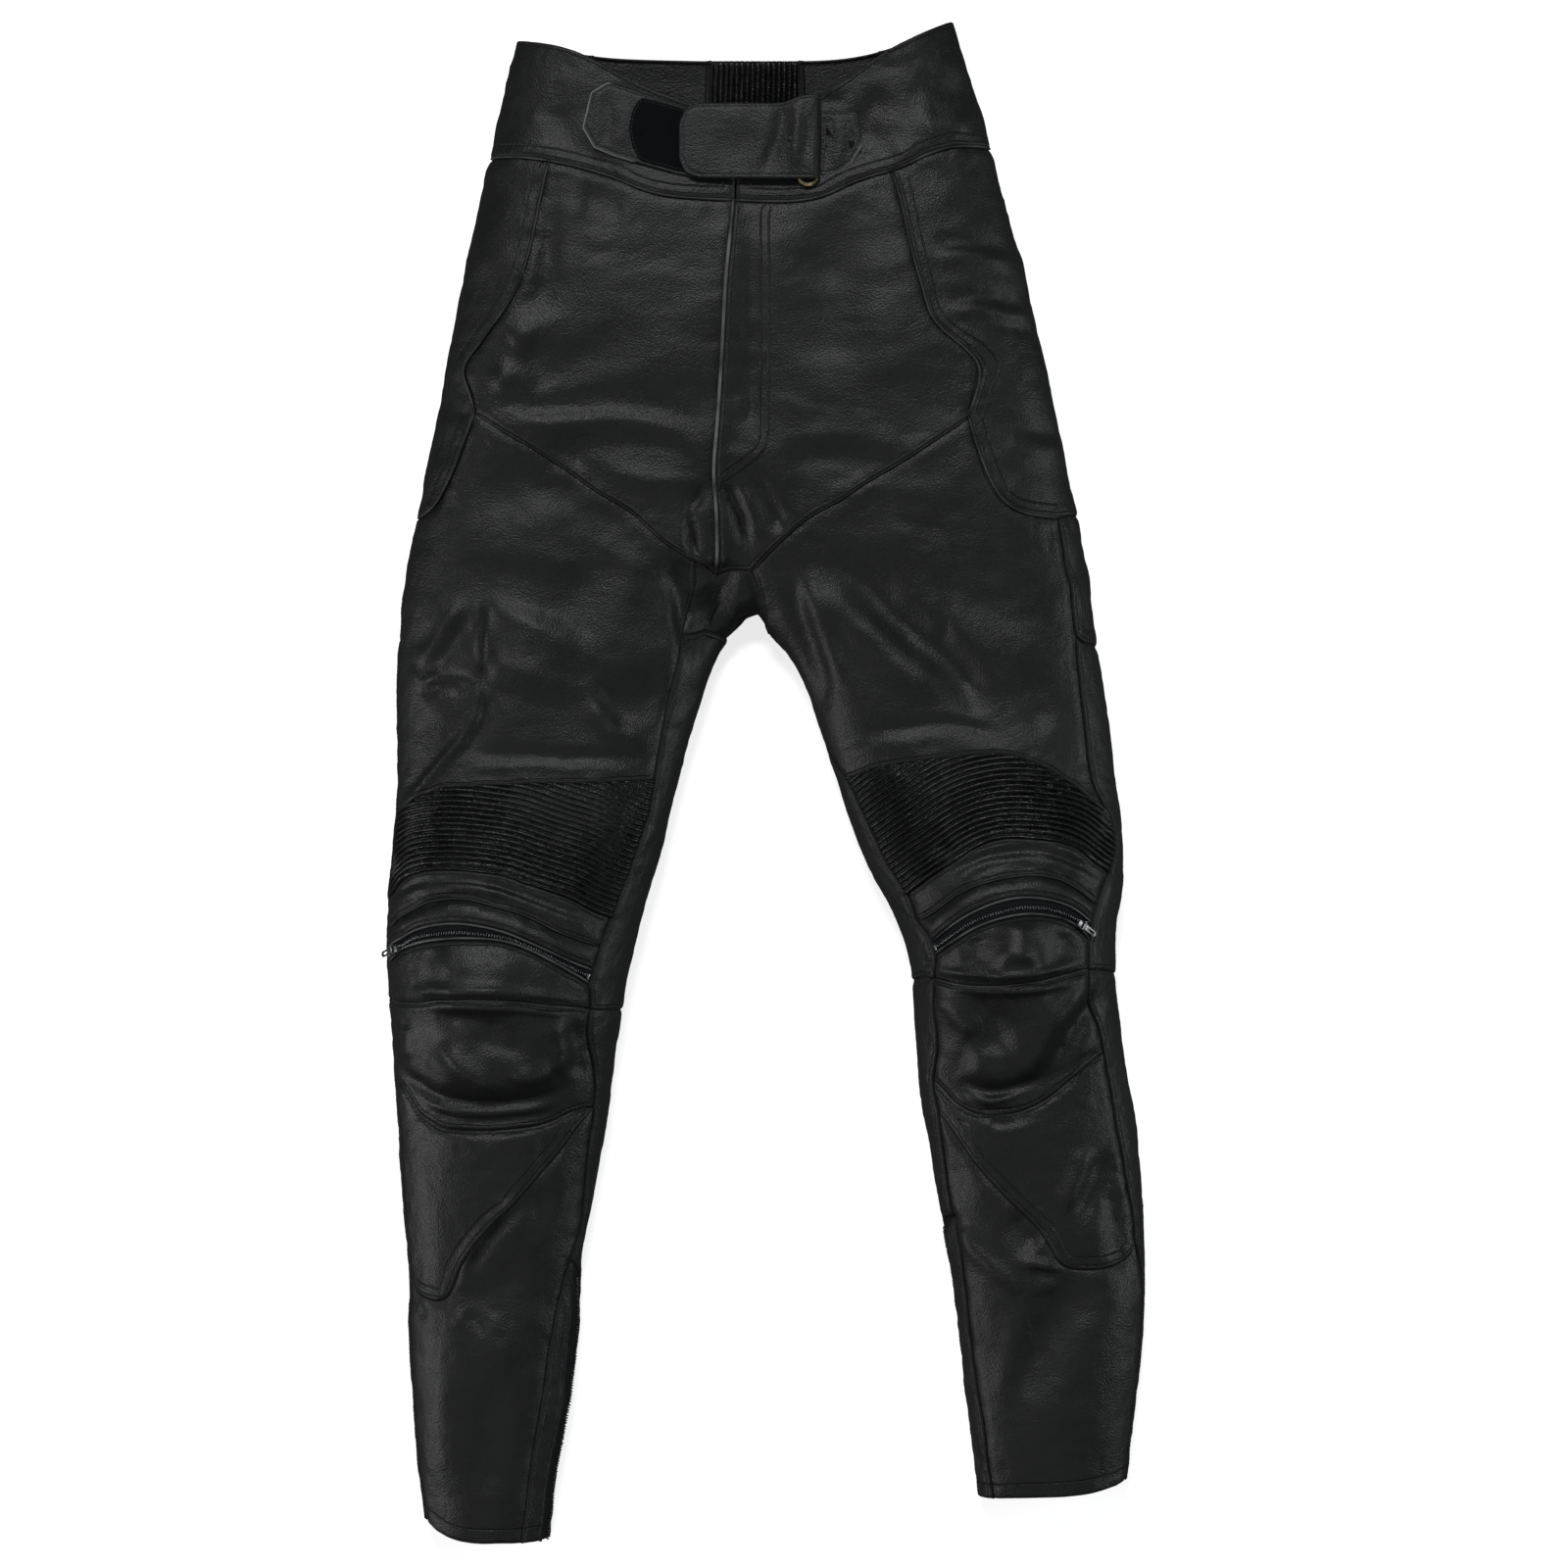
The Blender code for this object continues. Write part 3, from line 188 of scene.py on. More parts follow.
foldLines = (
    # right front
    (8, -1.6, ((-149, 414), (-150, 380), (-152, 346), (-158, 324))),
    (9, -1.8, ((-155, 308), (-158, 288), (-150, 272))),
    (8, 1.8, ((-160, 312), (-177, 304))),
    (7, 1.5, ((-176, 289), (-187, 272))),
    (10, -1.8, ((-183, 266), (-150, 259), (-123, 262), (-89, 268))),
    (7, 1.4, ((-179, 253), (-150, 250), (-109, 252), (-69, 245), (-48, 234))),
    (9, -1.5, ((-163, 241), (-130, 235), (-96, 233), (-55, 238))),
    (6, 1.4, ((-112, 217), (-79, 209), (-48, 208))),
    (9, -1.6, ((-123, 223), (-150, 229))),
    (16, -1.6, ((-129, 401), (-96, 399))),
    (14, -1.6, ((-155, 272), (-123, 298), (-82, 305))),
    (26, -3.0, ((-209, 189), (-164, 204), (-123, 195), (-69, 161))),
    # the end of the fly and the crotch
    (4, -3.8, ((-40, 207), (-52, 189), (-52, 173), (-48, 155))),
    (5, 1.6, ((-47, 203), (-57, 172), (-55, 152))),
    (4, -3.6, ((-32, 207), (-21, 195), (-15, 179), (-14, 158))),
    (3, 1.4, ((-58, 157), (-42, 153), (-25, 154))),
    (24, -9, ((-66, 114), (-44, 117), (-22, 112))),
    (4, 1.6, ((-16, 203), (-9, 183), (-6, 168))),
    (6, -2.0, ((-11, 217), (3, 193), (13, 172))),
    # right thigh
    (4.5, 0.8, ((-200, 130), (-200.5, 101), (-200, 68))),
    (3.6, -2.2, ((-193.5, 126), (-193, 93), (-195, 66))),
    (3.4, 2.3, ((-199, 70), (-200.6, 46), (-210, 30), (-217, 22), (-236, 0), (-250, -17))),
    (6, -1.9, ((-194, 60), (-196, 41), (-207, 25))),
    (2.8, 1.6, ((-246, 81), (-239, 70), (-225, 73), (-211, 73), (-200, 68))),
    (4.5, -1.5, ((-239, 64), (-222, 66), (-206, 65))),
    (5.5, 1.6, ((-246, 85), (-232, 91), (-221, 109), (-209, 126))),
    (7, -1.2, ((-230, 82), (-217, 95), (-206, 112))),
    (32, 4.0, ((-174, 62), (-164, 92), (-152, 118))),
    (20, -3.2, ((-114, 46), (-92, 56), (-66, 68))),
    (8, 1.8, ((-122, 58), (-103, 37), (-76, 30))),
    (5.5, -1.0, ((-216, 24), (-184, 19), (-157, 18), (-130, 16), (-78, 17))),
    (4, 0.7, ((-220, 9), (-184, 11), (-157, 12), (-130, 11), (-75, 10))),
    (20, -1.8, ((-109, 162), (-123, 135), (-143, 108))),
    # left thigh
    (13, -3.4, ((45, 158), (75, 128), (100, 104), (122, 89), (140, 68), (156, 50))),
    (22, 2.2, ((110, 128), (150, 92), (185, 70))),
    (12, -1.8, ((160, 96), (184, 60), (192, 32))),
    (14, 2.6, ((24, 132), (54, 120), (76, 101), (103, 76), (147, 46))),
    (8, -2.6, ((15, 153), (25, 112), (37, 75), (39, 43))),
    (7, 1.8, ((28, 142), (41, 101), (55, 67))),
    (4, -1.2, ((124, 129), (125, 97))),
    (4, -1.1, ((48, 25), (75, 34), (100, 38), (127, 41), (149, 37), (161, 32))),
    (3.6, 0.8, ((116, 47), (138, 46), (158, 40))),
    (8, 0.8, ((50, 14), (84, 26), (139, 28), (165, 22))),
    # left hip and front
    (5, -1.2, ((115, 373), (139, 375), (169, 369))),
    (5, 1.0, ((118, 365), (142, 365), (176, 359))),
    (5, -1.4, ((125, 335), (149, 337), (182, 330))),
    (5, 1.0, ((130, 328), (156, 327), (183, 322))),
    (5, -1.2, ((139, 321), (163, 319), (190, 313))),
    (5, -1.2, ((160, 249), (183, 245), (207, 242))),
    (6, 1.0, ((163, 236), (186, 231), (211, 229))),
    (20, -2.0, ((33, 387), (47, 339), (44, 285))),
    (24, 1.6, ((74, 380), (84, 325), (101, 271))),
    (12, -1.6, ((13, 223), (47, 229), (81, 225))),
    (10, 1.4, ((20, 236), (54, 240), (101, 236))),
    # right knee
    (5, -2.1, ((-259, -188), (-249, -204), (-238, -211), (-226, -217), (-203, -221), (-182, -221),
               (-160, -217), (-138, -211))),
    (3.6, 1.7, ((-237, -219), (-224, -224), (-200, -228), (-163, -225), (-142, -220))),
    (2.6, -1.6, ((-231, -229), (-212, -234), (-188, -235), (-156, -231))),
    (2.6, -1.4, ((-233, -236), (-212, -240), (-197, -242), (-175, -241), (-151, -237))),
    (9, -2.0, ((-230, -163), (-204, -166), (-176, -171))),
    (7, 3.0, ((-226, -179), (-206, -197), (-184, -210))),
    (7, -1.8, ((-203, -178), (-184, -180), (-163, -184))),
    (6, 2.3, ((-176, -200), (-160, -201), (-148, -196))),
    (6, 1.3, ((-248, -168), (-247, -192))),
    (4.5, 1.5, ((-245, -144), (-206, -142), (-177, -145))),
    (3, 0.8, ((-250, -88), (-220, -74), (-195, -74), (-170, -81), (-148, -92))),
    (3, -0.8, ((-250, -92), (-220, -79), (-195, -79), (-170, -86))),
    (2.4, 1.6, ((-238, -145), (-205, -144.5), (-165, -146), (-138, -149))),
    (2.4, 1.5, ((-236, -156), (-205, -155.5), (-165, -157), (-140, -160))),
    # welts beside the seams of both knees
    (2.4, 1.6, ((112, -129), (140, -132), (172, -133), (200, -129), (220, -123))),
    (2.4, 1.5, ((114, -140), (142, -143), (172, -144), (202, -141), (220, -135))),
    (8, 1.6, ((119, -62), (135, -52), (156, -43), (184, -39), (200, -42), (218, -50), (233, -58))),
    (8, 1.6, ((-255, -72), (-242, -65), (-220, -62), (-192, -65), (-170, -71), (-146, -79), (-119, -89))),
    (2.4, -1.3, ((119, -69), (135, -59), (156, -50), (184, -47), (200, -50), (218, -57), (233, -65))),
    (2.2, 0.8, ((119, -75), (135, -65), (156, -56), (184, -53), (200, -56), (218, -63), (233, -71))),
    (2.4, -1.3, ((-255, -77), (-242, -70), (-220, -67), (-192, -70), (-170, -77), (-146, -85), (-119, -96))),
    (2.2, 0.8, ((-255, -83), (-242, -76), (-220, -73), (-192, -76), (-170, -83), (-146, -91), (-119, -102))),
    # right shin and calf
    (9, -2.2, ((-133, -164), (-129, -188), (-131, -205))),
    (9, 2.0, ((-149, -157), (-142, -185), (-146, -202))),
    (4, 1.8, ((-169, -285), (-188, -304), (-201, -319), (-211, -336))),
    (4, -1.6, ((-160, -284), (-181, -305), (-194, -322), (-206, -340))),
    (3.5, -1.2, ((-245, -356), (-235, -372))),
    (4, -0.8, ((-206, -366), (-200, -375), (-191, -380))),
    (4, 0.7, ((-215, -368), (-211, -378))),
    (4, 0.6, ((-190, -370), (-187, -382))),
    (14, -1.4, ((-165, -330), (-190, -352), (-212, -362))),
    (12, 1.2, ((-152, -362), (-172, -384), (-190, -404))),
    (14, -1.6, ((-188, -409), (-192, -457), (-195, -497))),
    (14, 1.4, ((-222, -402), (-225, -450), (-220, -497))),
    (8, -1.6, ((-150, -239), (-153, -273), (-158, -314))),
    # left knee
    (8, 3.0, ((222, -134), (210, -153), (200, -166), (191, -186), (179, -202))),
    (8, -3.0, ((232, -145), (220, -164), (210, -179), (198, -200))),
    (9, 2.4, ((118, -147), (134, -160), (149, -174))),
    (11, 3.2, ((175, -96), (175, -126))),
    (8, -1.6, ((145, -106), (146, -127))),
    (7, -1.4, ((205, -104), (206, -124))),
    (9, -2.6, ((142, -147), (156, -168), (157, -188))),
    (5, -2.0, ((134, -204), (142, -211), (161, -214), (182, -208), (192, -201))),
    (3.2, 2.0, ((137, -211), (148, -218), (161, -220), (183, -212))),
    (2.6, -1.5, ((146, -226), (165, -228), (180, -225))),
    (2.6, -1.4, ((154, -234), (167, -236), (186, -230))),
    (3, -1.0, ((194, -207), (214, -196), (234, -183))),
    (3, -1.0, ((113, -202), (122, -212), (133, -223))),
    # left shin and calf
    (9, -3.0, ((171, -299), (180, -312), (189, -322))),
    (4.5, 1.9, ((172, -334), (190, -335), (205, -340))),
    (2.6, -2.0, ((184, -337), (194, -340), (205, -343))),
    (4, 0.9, ((178, -348), (190, -350), (202, -348))),
    (5, 1.9, ((132, -293), (144, -324), (159, -337), (172, -348), (179, -354))),
    (7, 2.0, ((224, -251), (216, -276), (205, -299))),
    (8, -1.8, ((235, -254), (226, -280), (217, -304))),
    (15, -1.8, ((226, -345), (204, -368), (186, -398), (178, -430))),
    (16, 1.1, ((240, -365), (218, -392), (202, -425), (190, -455))),
    (8, 1.6, ((180, -361), (172, -395), (164, -429))),
    (5, -1.6, ((126, -300), (132, -304), (139, -311))),
    (8, -1.6, ((237, -273), (244, -314), (248, -348))),
    # rolls of the padded knee cups
    (17, 3.8, ((156, -124), (176, -126), (194, -123))),
    (20, 4.4, ((-236, -194), (-206, -202), (-172, -203), (-146, -196))),
    (18, 4.0, ((138, -188), (163, -198), (192, -188))),
    (16, 2.6, ((-232, -131), (-200, -130), (-165, -133))),
    (12, 2.4, ((196, -146), (186, -168), (172, -186))),
    (10, 2.2, ((-226, -150), (-200, -149), (-170, -152))),
    # beside the fly, and under the crotch
    (4.5, -1.4, ((-9, 385), (-9.5, 330), (-10, 270), (-10.5, 245))),
    (14, -3.2, ((-76, 122), (-62, 141), (-45, 149), (-28, 143), (-15, 125))),
    # waistband
    (10, -1.4, ((-150, 468), (-130, 441), (-96, 423))),
    (10, -1.8, ((84, 482), (71, 461), (67, 441))),
    (9, 1.4, ((98, 461), (122, 456), (142, 461))),
    (6, -1.2, ((105, 492), (122, 482), (139, 478))),
    (5, 1.2, ((47, 495), (44, 475))),
    (10, 1.4, ((84, 434), (105, 441), (125, 446))),
)


# Lines and distances

def unit(ways):
    return ways / (np.linalg.norm(ways, axis=-1, keepdims=True) + 1e-9)


def measure(points):                      # running length of a line
    return np.concatenate([[0], np.cumsum(np.linalg.norm(np.diff(points, axis=0), axis=1))])


def pointsAt(path, lengths):              # the points of a line at these lengths along it
    run = measure(path)
    return np.stack([np.interp(lengths, run, path[:, k]) for k in range(path.shape[1])], axis=1)


def respaced(points, many):
    return pointsAt(points, np.linspace(0, measure(points)[-1], many))


def evenly(points, step, closed=True):    # a drawn outline in even steps
    line = np.array(points + points[:1] if closed else points, float)
    length = measure(line)[-1]
    return pointsAt(line, np.linspace(0, length, max(3, int(length / step)), endpoint=not closed))


def eased(line, times, weight=1, closed=False):   # a line with its bends evened out
    for _ in range(times):
        before, after = np.roll(line, 1, axis=0), np.roll(line, -1, axis=0)
        ease = (before + line * weight + after) / (weight + 2)
        if not closed:
            ease[[0, -1]] = line[[0, -1]]
        line = ease
    return line


def rising(line, axis):                   # turned so that it starts at the low end of this axis
    return line if line[0][axis] < line[-1][axis] else line[::-1]


def sameWay(line, towards):               # turned so that it starts near this point
    return line if np.linalg.norm(line[0] - towards) < np.linalg.norm(line[-1] - towards) else line[::-1]


def smoothLine(points, steps=8):          # a dense line through a few points
    p = np.array(points, float)
    if len(p) == 2:
        return p[0] + np.outer(np.linspace(0, 1, steps), p[1] - p[0])
    padded = np.vstack([2 * p[0] - p[1], p, 2 * p[-1] - p[-2]])
    t = np.linspace(0, 1, steps, endpoint=False)[:, None]
    out = [0.5 * (2 * b + (c - a) * t + (2 * a - 5 * b + 4 * c - d) * t ** 2
                  + (3 * b - a - 3 * c + d) * t ** 3)
           for a, b, c, d in zip(padded[:-3], padded[1:-2], padded[2:-1], padded[3:])]
    return np.vstack(out + [p[-1:]])


def gapsTo(xy, line):                     # the share along each stretch of a line, and the gap to it
    a, run = line[:-1], np.diff(line, axis=0)
    rel = xy[:, None] - a
    share = np.clip((rel * run).sum(axis=2) / (run ** 2).sum(axis=1), 0, 1)
    return share, np.sqrt(((rel - share[..., None] * run) ** 2).sum(axis=2))


def foldHeight(xy, lines):                # how far each point is pushed out, in mm
    total = np.zeros(len(xy))
    for width, height, points in lines:
        line = smoothLine(points)
        low, high = line.min(axis=0) - 3 * width, line.max(axis=0) + 3 * width
        near = np.flatnonzero(((xy > low) & (xy < high)).all(axis=1))
        if not len(near):
            continue
        share, gap = gapsTo(xy[near], line)
        at = gap.argmin(axis=1)
        along = (at + share[np.arange(len(near)), at]) / (len(line) - 1)
        taper = np.clip(np.minimum(along, 1 - along) * 4 + 0.15, 0, 1)
        total[near] += height * taper * np.exp(-(gap.min(axis=1) / width) ** 2)
    return total


# The skin is subdivided as one cloth, then creased

creaseLook = {
    "folds": 1.7,             # all the drawn folds together
    "slack": (2.0, 62),       # broad looseness: height and size in mm
    "drape": (1.25, 27),      # folds that lie across
    "hide": (0.55, 34),       # the leather's own unevenness
    "wrinkle": (0.36, 11),
    "pucker": (0.38, 8),      # gathers along the seams
    "ankle": {"right": (4.0, 10), "left": (1.5, 12)},       # how far the ankle zip stands out, and its reach
    "ankleTurn": (6, 16),     # how far the right ankle's zip comes round to the front, and its reach
    "nudge": ((158, 291, 8, 1, 13), (126, 324, -5, 0, 17), (-213, 288, -8, 0, 12)),   # x, y, shift, reach
    "seamEase": 16,           # rounds of smoothing along a seam
}

carrier = bpy.data.meshes.new("wholeSkin")
whole.to_mesh(carrier)
whole.free()
skinObject = bpy.data.objects.new("wholeSkin", carrier)
bpy.context.scene.collection.objects.link(skinObject)
bpy.context.view_layer.objects.active = skinObject
for name in leatherPanels:
    carrier.materials.append(bpy.data.materials.new("held_" + name))
smooth = skinObject.modifiers.new("smooth", "SUBSURF")
smooth.levels = smooth.render_levels = skinLook["levels"]
smooth.boundary_smooth = "ALL"
bpy.ops.object.modifier_apply(modifier="smooth")
mesh = skinObject.data
count = len(mesh.vertices)


def readVertices(label):
    values = np.empty(count * 3, np.float32)
    mesh.vertices.foreach_get(label, values)
    return values.reshape(-1, 3).astype(float)


place = readVertices("co") / mm
normal = readVertices("normal")
panelOf = np.empty(len(mesh.polygons), np.int32)
mesh.polygons.foreach_get("material_index", panelOf)
print("skin subdivided:", count, "points")

edgeFaces = {}
for face in mesh.polygons:
    for key in face.edge_keys:
        edgeFaces.setdefault(key, []).append(face.index)
seamEdges = {}                            # pair of panels -> edges of their seam
openEdges = []
for key, faces in edgeFaces.items():
    if len(faces) == 1:
        openEdges.append(key)
    elif panelOf[faces[0]] != panelOf[faces[1]]:
        pair = tuple(sorted(panelOf[f] for f in faces))
        seamEdges.setdefault(pair, []).append(key)
seamPoints = np.array(sorted({v for edges in seamEdges.values() for key in edges for v in key}))
openPoints = np.array(sorted({v for key in openEdges for v in key}))
facesOf = [[] for _ in leatherPanels]
for face in mesh.polygons:
    facesOf[face.material_index].append(tuple(face.vertices))


def chainsOf(edges):                      # the ordered runs of points that a seam's edges make
    links = {}
    for a, b in edges:
        links.setdefault(a, []).append(b)
        links.setdefault(b, []).append(a)
    runs, left = [], set(links)
    for start in sorted(links, key=lambda v: len(links[v])):
        if start not in left:
            continue
        run, here = [start], start
        left.discard(start)
        while True:
            ahead = [v for v in links[here] if v in left]
            if not ahead:
                break
            here = ahead[0]
            left.discard(here)
            run.append(here)
        if len(run) > 2:
            runs.append(run)
    return runs


def number(name):
    return leatherPanels.index(name)


def seamRuns(a, b):
    return chainsOf(seamEdges.get(tuple(sorted((number(a), number(b)))), []))


def seamRun(a, b):                        # the longest stretch of the seam between two panels
    return max(seamRuns(a, b), key=len)


def nearest(asked, points):               # the gap in mm to the nearest of these points, and its number
    tree = KDTree(len(points))
    for slot, point in enumerate(points):
        tree.insert(point, slot)
    tree.balance()
    found = [tree.find(point) for point in asked]
    return np.array([f[2] for f in found]), np.array([f[1] for f in found])


def alongSkin(ways, facing):              # what is left of a direction within the surface
    return ways - facing * (ways * facing).sum(axis=1)[:, None]


seamGap, slots = nearest(place, place[seamPoints])
seamNearest = seamPoints[slots]
drift = np.zeros_like(place)              # seams are drawn smooth, and the cloth beside them follows
for edges in seamEdges.values():
    for run in chainsOf(edges):
        if len(run) >= 8:
            drift[run] = eased(place[run], creaseLook["seamEase"], 2) - place[run]
place += drift[seamNearest] * np.clip(1 - seamGap / 12, 0, 1)[:, None]
turn, reach = creaseLook["ankleTurn"]
gap, _ = nearest(place, place[seamRun("ankle_strip_right", "ankle_zip_tape_right")])
towards = alongSkin(np.array([[-1.0, 0, 0]]), normal) + np.array([0, 0, 1.0]) * (1 - np.abs(normal[:, 2:]))
place += unit(alongSkin(towards, normal)) * turn * np.clip(1 - gap / reach, 0, 1)[:, None]
for x, y, dx, dy, reach in creaseLook["nudge"]:              # where a seam swings out further than its cut
    away = ((place[:, :2] - (x, y)) ** 2).sum(axis=1)
    shift = alongSkin(np.array([[dx, dy, 0.0]]), normal)
    place += np.exp(-away / reach ** 2)[:, None] * shift * (normal[:, 2:] > -0.1)
rimGap, _ = nearest(place, place[openPoints])
print("seams:", len(seamPoints), "points on", len(seamEdges), "seams")


def unevenness(points, size, seed, octaves=2):
    shift = Vector((seed * 17.3, seed * 5.1, seed * 9.7))
    return np.array([noise.fractal(Vector(p) / size + shift, 0.9, 2.1, octaves) for p in points])


def swells(kind, seed, octaves=2, squeeze=(1, 1, 1)):
    height, size = creaseLook[kind]
    return height * unevenness(place * np.array(squeeze), size, seed, octaves)


upward = normal[:, 2]
push = creaseLook["folds"] * foldHeight(place[:, :2], foldLines) * np.clip((upward + 0.15) / 0.5, 0, 1)
push += swells("hide", 1) + swells("slack", 11, 1)
level = np.clip((place[:, 1] - 20) / 120, 0.25, 1)          # the folds lie across the hips and belly
push += swells("drape", 12, squeeze=(0.38, 1, 1)) * level
for side, (out, reach) in creaseLook["ankle"].items():      # the ankle zip stands out at the leg's edge
    tape = [list(face) for face in facesOf[number("ankle_zip_tape_" + side)]]
    gap, _ = nearest(place, [place[face].mean(axis=0) for face in tape])
    top = max(place[face, 1].max() for face in tape)
    push += (out * np.exp(-(gap / reach) ** 2) * np.clip((upward + 0.75) / 0.5, 0, 1)
             * np.clip((top - place[:, 1]) / 45, 0, 1))
push += creaseLook["wrinkle"][0] * 0.5 - 2.2 * np.abs(swells("wrinkle", 2, 3, (0.62, 1, 1)))
push += swells("pucker", 3) * np.exp(-(seamGap / 14) ** 2)
resting = np.clip(1 - place[:, 2] / 6, 0, 1) * (upward < -0.4)
push *= 1 - 0.75 * resting
displaced = place + normal * push[:, None]
print("creases worked out")


# Each panel is cut out of the skin again, with its edges turned and lapped

seamLook = {
    "turn": 0.75,             # width of the turned edge
    "curl": 0.85,             # how far the edge rolls in
    "lap": 0.9,               # how far an upper panel reaches over the lower one
    "lapOnTape": 1.7,
    "raise": (0.75, 0, 7),    # an upper panel at its seam: height, gap to the seam and half width of the rise
    "tuck": (-0.8, 0, 3.2),   # the lower one
    "besideTuck": (0.18, 7, 3.5),
    "level": (0.35, 3.5, 3),  # two panels that meet edge to edge
    "sink": {"knee_band_upper": 1.7, "knee_band_lower": 1.7, "knee_cup_upper": 1.2, "knee_cup_lower": 0.9,
             "knee_zip_tape": 1.4, "ankle_zip_tape": 0.6, "shin_panel": 0.6, "waistband": 0.7},
    "reach": {"knee_band_upper": 4.5, "knee_band_lower": 4.0},
    "fly": (2.0, 0, 7),       # the left front stands further over the right one
}
onTop = {"waistband": 9, "hip_panel": 8, "front_panel_left": 7, "front_panel_right": 6.5, "seat": 6,
         "back_thigh": 5.5, "back_calf": 5.2, "thigh_front": 5, "ankle_strip": 4.8, "knee_band_upper": 4,
         "knee_cup_upper": 4, "knee_cup_lower": 4, "shin_panel": 3.5, "knee_band_lower": 3.2,
         "calf_front": 3, "gusset": 2, "knee_ribs": 1, "knee_zip_tape": 0, "ankle_zip_tape": 0,
         "waistband_back": 8, "waistband_back_ribs": 7}


def partOf(name):
    return name.rsplit("_", 1)[0] if name.endswith(("_right", "_left")) else name


def rankOf(index):
    name = leatherPanels[index]
    return onTop.get(name, onTop.get(partOf(name)))


ranks = np.array([rankOf(index) for index in range(len(leatherPanels))])
ribbed = {"knee_ribs_right", "knee_ribs_left", "waistband_back_ribs"}
seamPanels = {}                           # seam point -> panels that meet there
for pair, edges in seamEdges.items():
    for key in edges:
        for v in key:
            seamPanels.setdefault(v, set()).update(pair[:2])


def stretchOf(index):                     # the skin's points in a panel, and its faces in their numbers
    used = sorted({v for face in facesOf[index] for v in face})
    slot = {v: i for i, v in enumerate(used)}
    return np.array(used), [[slot[v] for v in face] for face in facesOf[index]]


def rise(gap, height, at, half):          # a soft ridge
    return height * math.exp(-((gap - at) / half) ** 2)


def panelShape(index):                    # points in mm and faces of one panel, raised or tucked at its seams
    (used, faces), name = stretchOf(index), leatherPanels[index]
    lift = np.zeros(len(used))
    for i, v in enumerate(used):
        others = [ranks[q] for q in seamPanels[seamNearest[v]] if q != index]
        if not others:
            continue
        gap, over = seamGap[v], ranks[index] - max(others)
        flyHere = name == "front_panel_left" and onTop["front_panel_right"] in others
        if over > 0:
            kinds = ("fly" if flyHere else "raise",)
        else:
            kinds = ("tuck", "besideTuck") if over < 0 else ("level",)
        lift[i] = sum(rise(gap, *seamLook[kind]) for kind in kinds)
        parts = [partOf(leatherPanels[q]) for q in seamPanels[seamNearest[v]]]
        sink = max(seamLook["sink"].get(q, 0.35) for q in parts)
        reach = max(seamLook["reach"].get(q, 3.0) for q in parts)
        lift[i] -= sink if "tape" in name else rise(gap, sink, 0, reach)
    points = place[used] + normal[used] * (push[used] + lift)[:, None]
    points[:, 2] = np.maximum(points[:, 2], skinLook["rest"])
    return used, points, faces


stitchLook = {                            # rows of stitches, in mm
    "pitch": 3.1, "length": 2.15, "thick": 0.62,
    "offset": 2.1,            # from the seam
    "second": 8.0,            # second row, where there is one
    "hem": 10.0,              # from the open edge of a hem
    "waist": 2.4,             # and of the waist
    "sink": 0.08,
    "slant": 0.10,
    "strapPitch": 2.7,
}
# seams with a second row, seams with a shallow groove, and seams with a row on each side: over, under
doubled = {("waistband", "front_panel"), ("waistband", "hip_panel"), ("hip_panel", "front_panel"),
           ("hip_panel", "thigh_front"), ("shin_panel", "calf_front"), ("seat", "back_thigh")}
rowDepth = {("front_panel", "thigh_front"): 0.25, ("hip_panel_right", "front_panel"): 0.2}
bothSides = {("knee_cup_upper", "knee_cup_lower"), ("knee_cup_lower", "shin_panel")}
flyLook = {
    "outer": ((2.4, 396), (2.4, 330), (2.2, 270), (1.8, 243), (-0.5, 232), (-6, 224.5), (-14, 218),
              (-27, 208.5)),
    "inner": ((-3.4, 396), (-3.4, 330), (-3.4, 270), (-3.6, 246), (-5.5, 237), (-11, 230.5), (-18, 225),
              (-28, 218)),
    "apart": 5.6,             # between the two rows
}


def sideOf(xy, line):                     # distance from a drawn line, below 0 on its right hand
    gap = gapsTo(xy, line)[1]
    k = gap.argmin(axis=1)
    run, rel = np.diff(line, axis=0)[k], xy - line[k]
    return gap.min(axis=1) * np.sign(run[:, 0] * rel[:, 1] - run[:, 1] * rel[:, 0])


def rowFlags(index, used):                # where a panel has one row of stitches by its seam, and where two
    one, two = np.zeros(len(used)), np.zeros(len(used))
    part = partOf(leatherPanels[index])
    for i, v in enumerate(used):
        others = [q for q in seamPanels[seamNearest[v]] if q != index]
        if not others:
            continue
        other = max(others, key=lambda q: ranks[q])
        if ranks[index] > ranks[other] or (partOf(leatherPanels[other]), part) in bothSides:
            under = partOf(leatherPanels[other])
            one[i] = rowDepth.get((part, under), rowDepth.get((leatherPanels[index], under), 1))
            two[i] = ((part, under) in doubled) * one[i]
    return one, two


def addField(target, name, values):       # a value at each point, which a finish can read
    field = target.attributes.new(name, "FLOAT", "POINT")
    field.data.foreach_set("value", np.ascontiguousarray(values, np.float32))


def meshFrom(name, points, faces, mend, **fields):    # a smooth mesh of points in mm, mended as a bmesh
    meshData = bpy.data.meshes.new(name)
    meshData.from_pydata((np.array(points) * mm).tolist(), [], faces)
    for label, values in fields.items():
        addField(meshData, label, values)
    bm = bmesh.new()
    bm.from_mesh(meshData)
    mend(bm)
    for face in bm.faces:
        face.smooth = True
    bm.to_mesh(meshData)
    bm.free()
    return meshData


def faceTo(bm, way):                      # turns a sheet over if it faces away from this direction
    bm.normal_update()
    if sum((face.normal for face in bm.faces), Vector()).dot(way) < 0:
        bmesh.ops.reverse_faces(bm, faces=bm.faces[:])


def faceOut(bm):
    bmesh.ops.recalc_face_normals(bm, faces=bm.faces[:])


